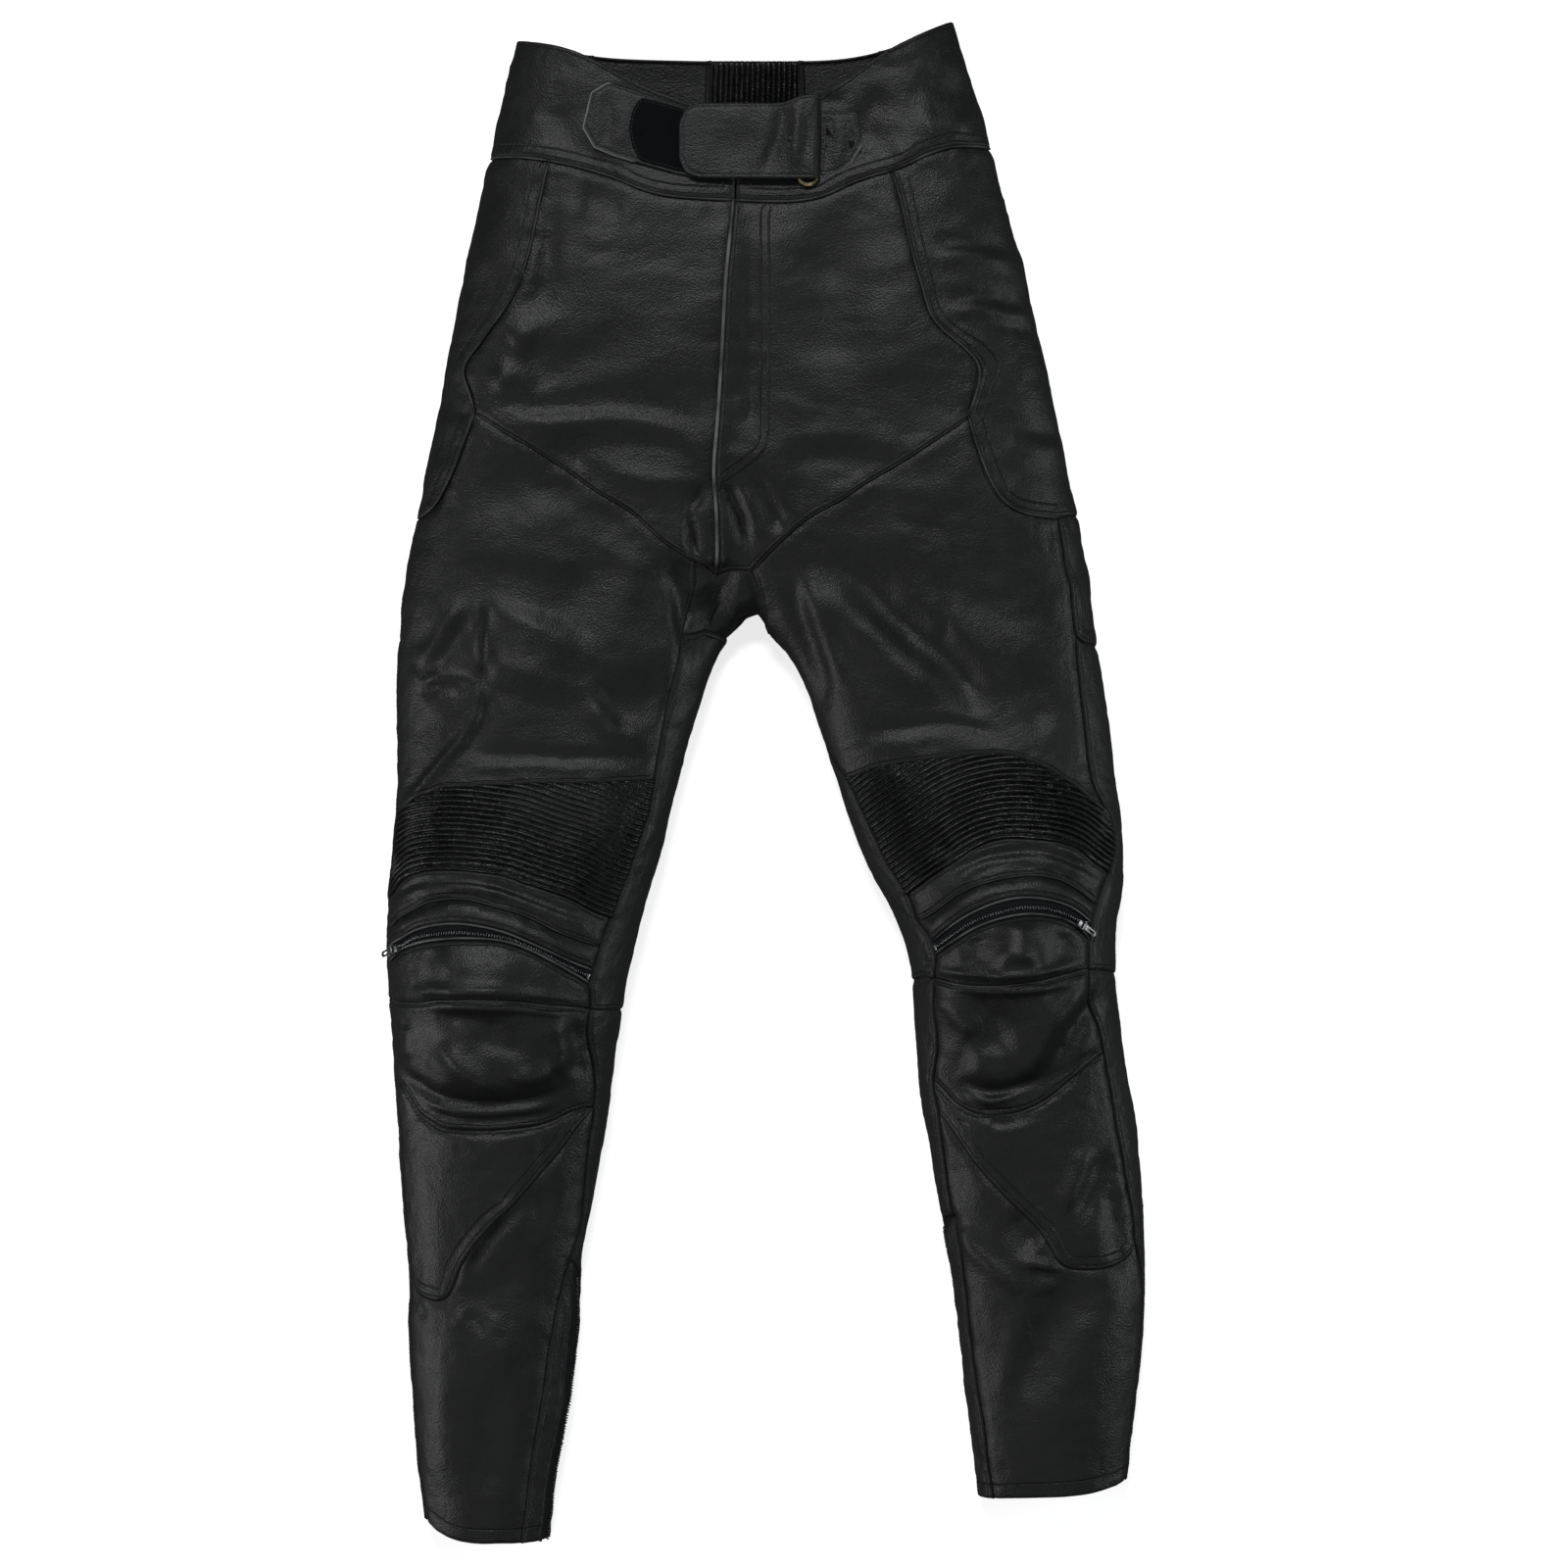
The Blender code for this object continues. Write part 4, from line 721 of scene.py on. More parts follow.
def gridFaces(rows, columns, closed=False):
    return [(i * columns + j, i * columns + (j + 1) % columns, (i + 1) * columns + (j + 1) % columns,
             (i + 1) * columns + j) for i in range(rows - 1) for j in range(columns - (not closed))]


def treeOf(meshData):
    return BVHTree.FromPolygons([v.co.copy() for v in meshData.vertices],
                                [tuple(p.vertices) for p in meshData.polygons])


def turnEdges(bm, index, used):           # a narrow ring round the panel that rolls in
    rim = [v for v in bm.verts if v.is_boundary]
    bm.normal_update()
    fromV = {v: used[v.index] for v in rim}
    out = {}
    for v in rim:
        around = [e.other_vert(v).co for e in v.link_edges if e.is_boundary]
        inside = [f.calc_center_median() for f in v.link_faces]
        away = v.co - sum(inside, Vector()) / len(inside)
        if len(around) == 2:
            along = (around[0] - around[1]).normalized()
            away -= along * away.dot(along)
        away -= v.normal * away.dot(v.normal)
        out[v] = away.normalized()
    bmesh.ops.inset_region(bm, faces=bm.faces[:], thickness=seamLook["turn"] * mm, use_boundary=True,
                           use_even_offset=True)
    bm.normal_update()
    for v in rim:
        others = [ranks[q] for q in seamPanels.get(fromV[v], ()) if q != index]
        over = ranks[index] - max(others) if others else 0
        reach = seamLook["lap"] if others and over > 0 else 0
        if any("tape" in leatherPanels[q] for q in seamPanels.get(fromV[v], ()) if q != index):
            reach = seamLook["lapOnTape"]
        curl = seamLook["curl"] * (1 if over >= 0 else 0.4)
        v.co += out[v] * reach * mm - v.normal * curl * mm


made = {}                                 # piece name -> object
skins = {}                                # panel -> its outer surface, for what is sewn on it


def newObject(name, meshData):
    made[name] = bpy.data.objects.new(name, meshData)
    bpy.context.scene.collection.objects.link(made[name])
    return made[name]


def applyModifier(target, kind, **settings):
    bpy.ops.object.select_all(action="DESELECT")
    target.select_set(True)
    bpy.context.view_layer.objects.active = target
    added = target.modifiers.new(kind.lower(), kind)
    for key, value in settings.items():
        setattr(added, key, value)
    bpy.ops.object.modifier_apply(modifier=added.name)


def thicken(sheet, wall):
    applyModifier(sheet, "SOLIDIFY", thickness=wall * mm, offset=-1, use_rim=True)


def makePanel(index):
    name = leatherPanels[index]
    used, points, faces = panelShape(index)
    hemRow = stitchLook["waist"] if points[0, 1] > 0 else stitchLook["hem"]
    one, two = rowFlags(index, used)
    fields = {"seamGap": np.minimum(seamGap[used], 60), "rowOne": one, "rowTwo": two,
              "hemRow": 20 + np.minimum(rimGap[used], 60) - hemRow}
    if name == "front_panel_left":
        fields["flyRow"] = 20 + sideOf(points[:, :2], smoothLine(flyLook["outer"]))
    meshData = meshFrom("panel_" + name, points, faces, lambda bm: turnEdges(bm, index, used), **fields)
    skins[name] = treeOf(meshData)
    thicken(newObject("panel_" + name, meshData), skinLook["wall"]["tape" if "tape" in name else "leather"])


for index, name in enumerate(leatherPanels):
    if name not in ribbed:
        makePanel(index)
bpy.data.objects.remove(skinObject)
print("panels cut:", len(made))


# Ribbed stretch panels

ribLook = {
    "knee": {"pitch": 3.9, "height": 3.3, "along": 84, "across": 150},
    "waist": {"pitch": 3.7, "height": 2.0, "along": 24, "across": 130},
    "wall": 1.2,
    "round": 0.65,            # below 1 the ribs are fuller and the valleys narrower
    "uneven": 0.22,
    "base": 0.7,              # the share of the height that lies under the panel's own surface
    "flat": (0.35, 6),        # height left at the ends of the ribs, and how soon it is full
}


def patchBetween(low, high, first, last, look):   # a grid that fills the four edges of a panel
    near, far = respaced(low, look["along"]), respaced(high, look["along"])
    start, end = respaced(first, look["across"]), respaced(last, look["across"])
    u = np.linspace(0, 1, look["along"])[:, None, None]
    v = np.linspace(0, 1, look["across"])[None, :, None]
    return ((1 - v) * near[:, None] + v * far[:, None] + (1 - u) * start[None] + u * end[None]
            - (1 - u) * (1 - v) * near[0] - u * (1 - v) * near[-1] - (1 - u) * v * far[0] - u * v * far[-1])


def ribPanel(name, low, high, first, last, look):
    used, faces = stretchOf(number(name))
    tree = BVHTree.FromPolygons([Vector(displaced[q]) for q in used], faces)
    shape = (look["along"], look["across"])
    hits = [tree.find_nearest(Vector(p)) for p in patchBetween(low, high, first, last, look).reshape(-1, 3)]
    points, normals = np.array([hit[0] for hit in hits]), np.array([hit[1] for hit in hits])
    grid = points.reshape(*shape, 3)
    out = unit(np.cross(np.gradient(grid, axis=0), np.gradient(grid, axis=1)).reshape(-1, 3))
    out *= np.sign((out * normals).sum(axis=1))[:, None]
    gap, _ = nearest(points, respaced(low, 400))
    steps = np.arange(look["along"])
    edge = np.repeat(np.minimum(steps, steps[::-1]) * 2.2, look["across"])
    wave = np.abs(np.sin(math.pi * gap / look["pitch"])) ** ribLook["round"]
    uneven = 1 + ribLook["uneven"] * unevenness(points, 16, 5)
    flat, full = ribLook["flat"]
    height = look["height"] * (wave * uneven - ribLook["base"]) * np.clip(flat + edge / full, 0, 1)
    # the valleys' share is kept for the painted shade between the ribs
    meshData = meshFrom("panel_" + name, points + out * height[:, None], gridFaces(*shape),
                        lambda bm: faceTo(bm, Vector(out.mean(axis=0))),
                        seamGap=np.full(len(points), 8.0), valley=1 - wave)
    thicken(newObject("panel_" + name, meshData), ribLook["wall"])


for side in sides:
    ribs = "knee_ribs_" + side
    edges = [place[run] for run in sorted(seamRuns(ribs, "back_thigh_" + side), key=len)[-2:]]
    edges.sort(key=lambda line: line[:, 0].mean())
    low, high = (sameWay(place[seamRun(ribs, f"{part}_{side}")], edges[0].mean(axis=0))
                 for part in ("knee_band_upper", "thigh_front"))
    ribPanel(ribs, low, high, sameWay(edges[0], low[0]), sameWay(edges[1], low[-1]), ribLook["knee"])
left, right = (rising(place[seamRun("waistband_back_ribs", "waistband_back_" + side)], 1) for side in sides)
bottomRuns = [place[run] for side in sides for run in seamRuns("waistband_back_ribs", "seat_" + side)]
bottomRuns.sort(key=lambda line: line[:, 0].mean())
below = np.vstack([sameWay(bottomRuns[0], left[0])] + [rising(line, 0) for line in bottomRuns[1:]])
ribPanel("waistband_back_ribs", left, right, below, np.linspace(left[-1], right[-1], 30), ribLook["waist"])
print("ribs made")


# Pieces sewn on at the waist

sewnLook = {
    "wall": 1.6, "corner": 1, "pad": 0.5, "pale": (), "folds": (),
    "insets": (0.02, 0.3, 0.7, 1.2, 1.9, 2.6, 3.3, 4.5, 6.5, 9),   # rings of points, in from the outline
    "innerRings": 6,
    "roll": (1.3, 1.4),       # how far the edge turns down, and over what width
    "groove": (0.35, 2.6, 0.6),      # along the stitches: depth, place, half width
}
strapPieces = {                           # mm; where a piece has a third line, it is the stretch of its outline with a painted highlight along the cut edge
    "strap_base_right": {
        "outline": ((-109, 486), (-121, 479), (-127, 454), (-119, 440), (-105, 434), (-84, 428), (-60, 421),
                    (-50, 419), (-50, 466), (-84, 478)),
        "spine": ((-104, 459), (-60, 444)),
        "pale": ((-109, 486), (-121, 479), (-127, 454), (-119, 440), (-103, 433.5), (-93, 430.5)),
        "folds": ((5, -0.8, ((-112, 478), (-108, 458), (-112, 442))),
                  (7, 0.7, ((-100, 474), (-98, 456), (-102, 440))))},
    "strap_base_left": {
        "outline": ((38, 466), (64, 465), (67, 441), (59, 428), (44, 420.5), (38, 420.5)),
        "spine": ((47, 448), (55, 446)),
        "pale": ((67, 441), (59, 428), (44, 420.5)),
        "folds": ((4, -0.7, ((43, 464), (45, 446), (41, 424))), (5, 0.5, ((51, 462), (52, 444), (48, 426))),
                  (4, -0.4, ((59, 462), (60, 446), (56, 431))))},
    "hook_patch": {
        "outline": ((-86, 475), (-92, 467), (-95, 453), (-92, 440), (-87, 431), (-62, 424), (-46, 422),
                    (-46, 464), (-60, 468)),
        "spine": ((-80, 452), (-58, 446)), "wall": 1.2, "corner": 2, "pad": 0.3},
    "strap_tab": {
        "outline": ((38, 418), (38.5, 477), (26, 476.5), (12, 471), (-47, 471), (-55, 468), (-60, 458),
                    (-60, 432), (-55, 422), (-47, 418.5)),
        "spine": ((-38, 445), (18, 445)), "wall": 3.0, "corner": 5, "pad": 0.9,
        "folds": ((5, -1.5, ((12, 473), (10, 450), (-2, 421))), (7, 0.9, ((3, 470), (0, 448), (-12, 424))),
                  (3.5, 1.3, ((21, 472), (22, 452), (19, 424))), (3, -1.2, ((29, 472), (30, 455), (27, 430))),
                  (9, 0.6, ((-36, 462), (-14, 458), (2, 452))),
                  (10, -0.5, ((-40, 440), (-20, 436), (-4, 430))))},
}
outlineStep = 1.3


def dropOn(tree, xy, far=0.3):            # heights in mm of a surface seen from above
    out = np.full(len(xy), np.nan)
    for i, (x, y) in enumerate(xy):
        hit = tree.ray_cast(Vector((x * mm, y * mm, far)), Vector((0, 0, -1)))[0]
        if hit:
            out[i] = hit.z / mm
    return out


def sewnOn(name, look):
    outline = eased(evenly(look["outline"], outlineStep), look["corner"], 2, closed=True)
    a, b = np.array(look["spine"], float)
    share = np.clip(((outline - a) @ (b - a)) / ((b - a) @ (b - a)), 0, 1)
    steps = max(2, int(np.linalg.norm(b - a) / outlineStep))
    centre = a + (np.round(share * steps) / steps)[:, None] * (b - a)
    reach = np.linalg.norm(centre - outline, axis=1)
    shares = [np.minimum(inset / reach, 0.45) for inset in look["insets"]]
    shares += [np.maximum(part, look["insets"][-1] / reach * 1.02).clip(0, 1)
               for part in np.linspace(0.5, 1, look["innerRings"])]
    xy = np.vstack([outline + (centre - outline) * t[:, None] for t in shares])
    edge = np.concatenate([t * reach for t in shares])
    low, high = (np.array(v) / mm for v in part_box(name))
    inside = np.clip(xy, low[:2] + 0.5, high[:2] - 0.5)
    middle = np.tile(centre, (len(shares), 1))
    height = dropOn(treeOf(nodes[name].data), inside + (middle - inside) * 0.03)
    grid = np.where(np.isnan(height), np.nanmean(height), height).reshape(len(shares), len(outline))
    for _ in range(6):                    # the coarse solid's facets are smoothed away
        grid = eased(eased(grid.T, 1, closed=True).T, 1)
    (down, across), (deep, at, half) = look["roll"], look["groove"]
    roll = np.clip(1 - edge / across, 0, 1)
    height = grid.reshape(-1) - down * (1 - np.sqrt(1 - roll ** 2)) + look["pad"] * (1 - np.exp(-edge / 5))
    height -= deep * np.exp(-((edge - at) / half) ** 2)
    height += foldHeight(xy, look["folds"]) * np.clip(edge / 4, 0.25, 1)
    if name == "strap_tab":               # it turns down round the ring's far bar
        height -= np.clip(xy[:, 0] - 34, 0, 4) ** 2 * 0.38
    # painted highlight along the listed stretch of the outline, at the cut edge
    pale = np.zeros(len(xy))
    if look["pale"]:
        line = evenly(look["pale"], 1.0, False)
        gap = np.sqrt(((xy[:, None] - line) ** 2).sum(axis=2)).min(axis=1)
        pale = np.exp(-(gap / 2.0) ** 2) * np.exp(-(edge / 0.9) ** 2)

    def closeMiddle(bm):
        bmesh.ops.remove_doubles(bm, verts=bm.verts[:], dist=0.02 * mm)
        faceTo(bm, Vector((0, 0, 1)))

    faces = gridFaces(len(shares), len(outline), True)
    meshData = meshFrom(name + "_shell", np.column_stack([xy, height]), faces, closeMiddle,
                        seamGap=edge + 1.5, pale=pale)
    skins[name] = treeOf(meshData)
    thicken(newObject(name + "_shell", meshData), look["wall"])


for name, look in strapPieces.items():
    sewnOn(name, {**sewnLook, **look})
print("strap pieces made")


# Topstitching

def bead(rings, sides, size, turned=0):   # a small closed lens along x: where its rings are, and how fat
    angles = [turned + 2 * math.pi * k / sides for k in range(sides)]
    points = np.array([(x * size[0], math.cos(angle) * fat * size[1], math.sin(angle) * fat * size[2])
                       for x, fat in rings for angle in angles])
    faces = [face[::-1] for face in gridFaces(len(rings), sides, True)]
    last = len(points) - 1
    return points, faces + [tuple(range(sides)), tuple(range(last, last - sides, -1))]


def strung(name, shape, seats, mend):     # copies of one bead, each at a spot with its own axes, as one piece
    points = np.vstack([spot + shape[0] @ np.array(axes) for spot, axes in seats])
    faces = [tuple(k * len(shape[0]) + q for q in face) for k in range(len(seats)) for face in shape[1]]
    return newObject(name, meshFrom(name, points, faces, mend))


def spotsOn(panel, path, lengths):        # a path's points on a panel: place, way on, outward
    spots = pointsAt(path, lengths)
    found = []
    for spot, way in zip(spots, pointsAt(path, lengths + 0.5) - spots):
        hit, out, _, gap = skins[panel].find_nearest(Vector(spot * mm))
        out = unit(np.array(out))
        if gap <= 0.006:
            found.append((np.array(hit) / mm, unit(way - out * (way @ out)), out))
    return found


stitch = bead([(-0.5, 0.25), (-0.3, 0.85), (0.0, 1.0), (0.3, 0.85), (0.5, 0.25)], 4,
              (stitchLook["length"], stitchLook["thick"] / 2, stitchLook["thick"] / 2), math.pi / 4)
stitched = {}                             # panel -> the spots of its stitches


def stitchRow(panel, path, pitch=stitchLook["pitch"]):    # along a path in mm, laid on the panel's own skin
    length = measure(path)[-1]
    if length >= 3 * pitch:
        lengths = np.arange(pitch * 0.6, length - pitch * 0.4, pitch)
        stitched.setdefault(panel, []).extend(spotsOn(panel, path, lengths))


def makeStitches(panel):
    seats = []
    for spot, way, out in stitched[panel]:
        tilt = unit(way + np.cross(out, way) * stitchLook["slant"])     # stitches slant a little in their row
        seats.append((spot - out * stitchLook["sink"], (tilt, np.cross(out, tilt), out)))
    strung(f"stitches_{panel}", stitch, seats, lambda bm: None)


def inward(panel, run):                   # from a seam into the panel, at each of its points
    wanted, found = set(run), {}
    for face in facesOf[number(panel)]:
        for v in wanted.intersection(face):
            found.setdefault(v, []).append(displaced[list(face)].mean(axis=0))
    line, out = displaced[run], normal[run]
    along = unit(np.gradient(line, axis=0))
    way = np.array([np.mean(found[v], axis=0) - displaced[v] if v in found else np.zeros(3) for v in run])
    return unit(eased(alongSkin(alongSkin(way, along), out), 4))


def rowBeside(panel, run, offset):
    stitchRow(panel, eased(displaced[run] + inward(panel, run) * offset, 3))


for pair, edges in sorted(seamEdges.items()):
    upper, lower = sorted(pair[:2], key=lambda q: -ranks[q])
    names = leatherPanels[upper], leatherPanels[lower]
    parts = tuple(partOf(q) for q in names)
    if names[0] in ribbed or "tape" in names[0]:
        continue
    for run in chainsOf(edges):
        rowBeside(names[0], run, stitchLook["offset"])
        if parts in doubled:
            rowBeside(names[0], run, stitchLook["second"])
        if parts in bothSides:
            rowBeside(names[1], run, stitchLook["offset"] + 0.6)
print("seam rows:", sum(len(v) for v in stitched.values()), "stitches")


def closedOutline(name, inset):           # a strap piece's outline, drawn in by this much
    line = eased(evenly(strapPieces[name]["outline"], outlineStep), 4, 2, closed=True)
    middle = np.mean(strapPieces[name]["spine"], axis=0)
    along = np.roll(line, -1, axis=0) - np.roll(line, 1, axis=0)
    out = unit(np.stack([along[:, 1], -along[:, 0]], axis=1))
    line = line - out * inset * np.sign(((line - middle) * out).sum())
    return np.vstack([line, line[:1]])


def layOnTop(panel, xy):                  # a drawn line dropped on a panel
    xy = np.array(xy, float)
    height = dropOn(skins[panel], xy)
    keep = ~np.isnan(height)
    return np.column_stack([xy[keep], height[keep]])


for name in ("strap_tab", "strap_base_right", "strap_base_left", "hook_patch"):
    line = closedOutline(name, 1.6 if name == "hook_patch" else 2.6)
    stitchRow(name, layOnTop(name, line), stitchLook["strapPitch"])

# hems, the waist's edge and the fly
for run in chainsOf(openEdges):
    owners = [leatherPanels[panelOf[edgeFaces[tuple(sorted(ends))][0]]] for ends in zip(run, run[1:])]
    start = 0
    for name, same in itertools.groupby(owners):
        end = start + len(list(same))
        part, start = run[start:end + 1], end
        if len(part) > 5 and name not in ribbed and "tape" not in name:
            rowBeside(name, part, stitchLook["waist" if displaced[part][:, 1].mean() > 0 else "hem"])
for key in ("outer", "inner"):
    stitchRow("front_panel_left", layOnTop("front_panel_left", smoothLine(flyLook[key], 14)))

for panel in sorted(stitched):
    makeStitches(panel)
print("stitches:", sum(len(v) for v in stitched.values()))


# The rolled edges of the upper panels

def tube(name, path, sizes, sides, **fields):     # a cord of changing thickness along a path, in mm
    along = unit(np.gradient(path, axis=0))
    across = unit(np.cross(along, (0, 0, 1.0)))
    lift = np.cross(across, along)
    turns = 2 * math.pi * np.arange(sides)[:, None] / sides
    rings = across[:, None] * np.cos(turns) + lift[:, None] * np.sin(turns)
    points = path[:, None] + rings * sizes[:, None, None]
    last = len(path) * sides - 1
    faces = gridFaces(len(path), sides, True) + [tuple(range(sides)), tuple(range(last, last - sides, -1))]
    return newObject(name, meshFrom(name, points.reshape(-1, 3), faces, faceOut, **fields))


edgeLook = {                              # panel, the one under it, thickness in mm, strength of the painted highlight
    "fly_edge": (("front_panel_left", "front_panel_right"), 1.15, 0.3),
}
for side in sides:
    edgeLook.update({f"{label}_{side}{end}": ((f"{over}_{side}", f"{under}_{side}"), thick, highlightShare)
                     for label, end, over, under, thick, highlightShare in (
        ("waist_edge", "_front_panel", "waistband", "front_panel", 0.85, 0.07),
        ("waist_edge", "_hip_panel", "waistband", "hip_panel", 0.85, 0.07),
        ("hip_edge", "_front_panel", "hip_panel", "front_panel", 0.8, 0.06),
        ("hip_edge", "_thigh_front", "hip_panel", "thigh_front", 0.8, 0.06),
        ("yoke_edge", "", "front_panel", "thigh_front", 0.5, 0.04),
        ("cup_edge", "", "knee_cup_upper", "knee_cup_lower", 0.8, 0.06),
        ("band_edge", "", "knee_band_upper", "knee_band_lower", 0.6, 0.04),
        ("zip_lip", "_band_lower", "knee_band_lower", "knee_zip_tape", 0.85, 0.15),
        ("zip_lip", "_cup_upper", "knee_cup_upper", "knee_zip_tape", 0.85, 0.15))})
edgeSides, edgeStep = 8, 2.2
for name, ((over, under), thick, highlightShare) in edgeLook.items():
    run = seamRun(over, under)
    used, fit, _ = panelShape(number(over))
    way = inward(over, run)
    back = 0.5 + (0.8 if name == "fly_edge" else 1.4 if "zip" in name else 0)
    line = fit[np.searchsorted(used, run)] + normal[run] * thick * 0.35 - way * back
    line = eased(respaced(line, int(measure(line)[-1] / edgeStep)), 5)
    share = np.linspace(0, 1, len(line))
    size = thick * (1 + 0.14 * unevenness(line, 13, 6)) * np.clip(np.minimum(share, 1 - share) * 30, 0.35, 1)
    # painted highlight along the rolled edge, uneven in strength
    pale = np.clip(highlightShare * (1 + 1.6 * np.repeat(unevenness(line, 21, 7), edgeSides)), 0, 1)
    tube(name, line, size, edgeSides, pale=pale, seamGap=np.full(len(pale), 3.0))
print("rolled edges made")


# Zips: coils, end stops, sliders and their pulls

zipLook = {
    "at": {"knee": 0.42, "ankle": 0.5},    # the coil's place across the tape
    "pitch": 1.9,
    "tooth": (3.4, 0.62, 1.05),
    "slant": 0.16,            # neighbouring teeth lean opposite ways
    "up": 0.45,
    "ends": {"knee": 2, "ankle": 14},      # the bare tape at a coil's far end
    "stop": (2.2, 4.6, 1.7),  # the metal stop at a knee zip's inner end
    "stopAt": 3.0,
}
tooth = bead([(-0.5, 0.35), (-0.2, 1.0), (0.2, 1.0), (0.5, 0.35)], 6, zipLook["tooth"])


def zipCoil(name, path, panel):
    highlightColour = zipLook["ends"][name.split("_")[0]]
    seats = []
    for spot, way, out in spotsOn(panel, path, np.arange(2, measure(path)[-1] - highlightColour, zipLook["pitch"])):
        lean = zipLook["slant"] * (1 if len(seats) % 2 else -1)
        across = unit(np.cross(out, way) + way * lean)
        seats.append((spot + out * zipLook["up"], (across, np.cross(out, across), out)))
    return strung(name, tooth, seats, faceOut)


def block(size, at=(0, 0, 0)):            # a bevelled bar in mm, shaped from a cube
    bpy.ops.mesh.primitive_cube_add(size=1)
    bar = bpy.context.object
    bpy.ops.object.mode_set(mode="EDIT")
    bpy.ops.transform.resize(value=[length * mm for length in size])
    bpy.ops.transform.translate(value=[shift * mm for shift in at])
    bpy.ops.object.mode_set(mode="OBJECT")
    applyModifier(bar, "BEVEL", width=0.28 * min(size) * mm, segments=2)
    return bar


def pin(radius, length, at, turn):        # a round bar in mm
    bpy.ops.mesh.primitive_cylinder_add(vertices=16, radius=radius * mm, depth=length * mm)
    bar = bpy.context.object
    bpy.ops.object.mode_set(mode="EDIT")
    bpy.ops.transform.rotate(value=turn, orient_axis="X", center_override=(0, 0, 0))
    bpy.ops.transform.translate(value=[shift * mm for shift in at])
    bpy.ops.object.mode_set(mode="OBJECT")
    return bar


def longPlate(radius, reach, thick):      # a flat bar with round ends, from the origin along x
    bpy.ops.mesh.primitive_cylinder_add(vertices=32, radius=radius * mm, depth=thick * mm)
    bar = bpy.context.object
    bpy.ops.object.mode_set(mode="EDIT")
    bpy.ops.mesh.select_all(action="DESELECT")
    bpy.ops.object.mode_set(mode="OBJECT")
    for v in bar.data.vertices:
        v.select = v.co.x > 0.01 * mm
    bpy.ops.object.mode_set(mode="EDIT")
    bpy.ops.transform.translate(value=(reach * mm, 0, 0))
    bpy.ops.object.mode_set(mode="OBJECT")
    return bar


def joined(name, parts, seat):            # one piece out of several, set in its place
    bpy.ops.object.select_all(action="DESELECT")
    for part in parts:
        part.select_set(True)
    bpy.context.view_layer.objects.active = parts[0]
    if len(parts) > 1:
        bpy.ops.object.join()
    piece = bpy.context.object
    piece.name = piece.data.name = name
    piece.data.transform(seat)
    for face in piece.data.polygons:
        face.use_smooth = True
    bpy.ops.object.shade_smooth_by_angle(angle=math.radians(35))
    made[name] = piece
    return piece


def seatAt(spot, along, out):             # a place whose x runs along, and whose z points out
    seat = Matrix.Identity(4)
    for k, axis in enumerate((along, out.cross(along), out)):
        seat.col[k][:3] = axis
    seat.translation = spot
    return seat


def stopZip(name, path, panel):           # a small metal clamp across the coil, near the path's first point
    spot, way, out = (Vector(v) for v in spotsOn(panel, path, np.array([zipLook["stopAt"]]))[0])
    return joined(name, [block(zipLook["stop"])], seatAt((spot + out * 0.5) * mm, way, out))


sliderLook = {                            # mm; x runs along the zip to its closed end, z out of the cloth
    "plate": (9.0, 6.8, 0.8), "tail": 0.66, "apart": 1.4,
    "lug": (2.5, 0.95, 2.3), "lugAt": 2.85,
    "axisUp": 3.45,
    "pin": 0.5,
    "tab": 2.1, "tabFrom": 2.2, "tabReach": 8.4, "thick": 0.9,
    "slot": 0.9, "slotFrom": 6.2, "slotReach": 3.6,
}


def seatOf(side):                         # where a pull turns: x along the zip, z out of the cloth
    joint = next(j for j in frame["joints"] if j["name"] == f"knee_pull_{side}_hinge")
    low, high = (Vector(v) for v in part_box("knee_zip_pull_" + side))
    origin, hinge = Vector(joint["pos_m"]), Vector(joint["axis"]).normalized()
    along = (low + high) / 2 - origin
    along = (along - hinge * along.dot(hinge)).normalized()
    out = along.cross(hinge)
    return seatAt(origin, along, -out if out.z < 0 else out)


def makeSlider(side):
    look = sliderLook
    thick = look["plate"][2]
    base = thick / 2 - look["axisUp"]
    plates = []
    for up in (0, look["apart"]):
        plate = block(look["plate"], (0, 0, base + up))
        for v in plate.data.vertices:     # narrower towards the open end
            v.co.y *= 1 if v.co.x > 0 else look["tail"]
        plates.append(plate)
    top = base + look["apart"] + thick / 2
    core = block((1.8, 1.6, look["apart"]), (1.5, 0, base + look["apart"] / 2))
    lugs = [block(look["lug"], (0, way * look["lugAt"], top + look["lug"][2] / 2 - 0.2)) for way in (-1, 1)]
    bar = pin(look["pin"], 2 * look["lugAt"], (0, 0, 0), math.pi / 2)
    return joined("knee_slider_body_" + side, plates + [core, bar] + lugs, seatOf(side))


def makePull(side):
    look = sliderLook
    plate = longPlate(look["tab"], look["tabReach"], look["thick"])
    hole = longPlate(look["slot"], look["slotReach"], look["thick"] * 3)
    hole.location.x = (look["slotFrom"] - look["tabFrom"]) * mm
    applyModifier(plate, "BOOLEAN", object=hole, operation="DIFFERENCE", solver="EXACT")
    bpy.data.objects.remove(hole)
    applyModifier(plate, "BEVEL", width=0.16 * mm, segments=2, limit_method="ANGLE")
    plate.data.transform(Matrix.Translation((look["tabFrom"] * mm, 0, 0)))
    eye = pin(look["pin"] + 0.45, 3.6, (0, 0, 0), math.pi / 2)
    neck = block((2.2, 3.0, look["thick"]), (1.2, 0, 0))
    return joined("knee_pull_tab_" + side, [plate, eye, neck], seatOf(side))


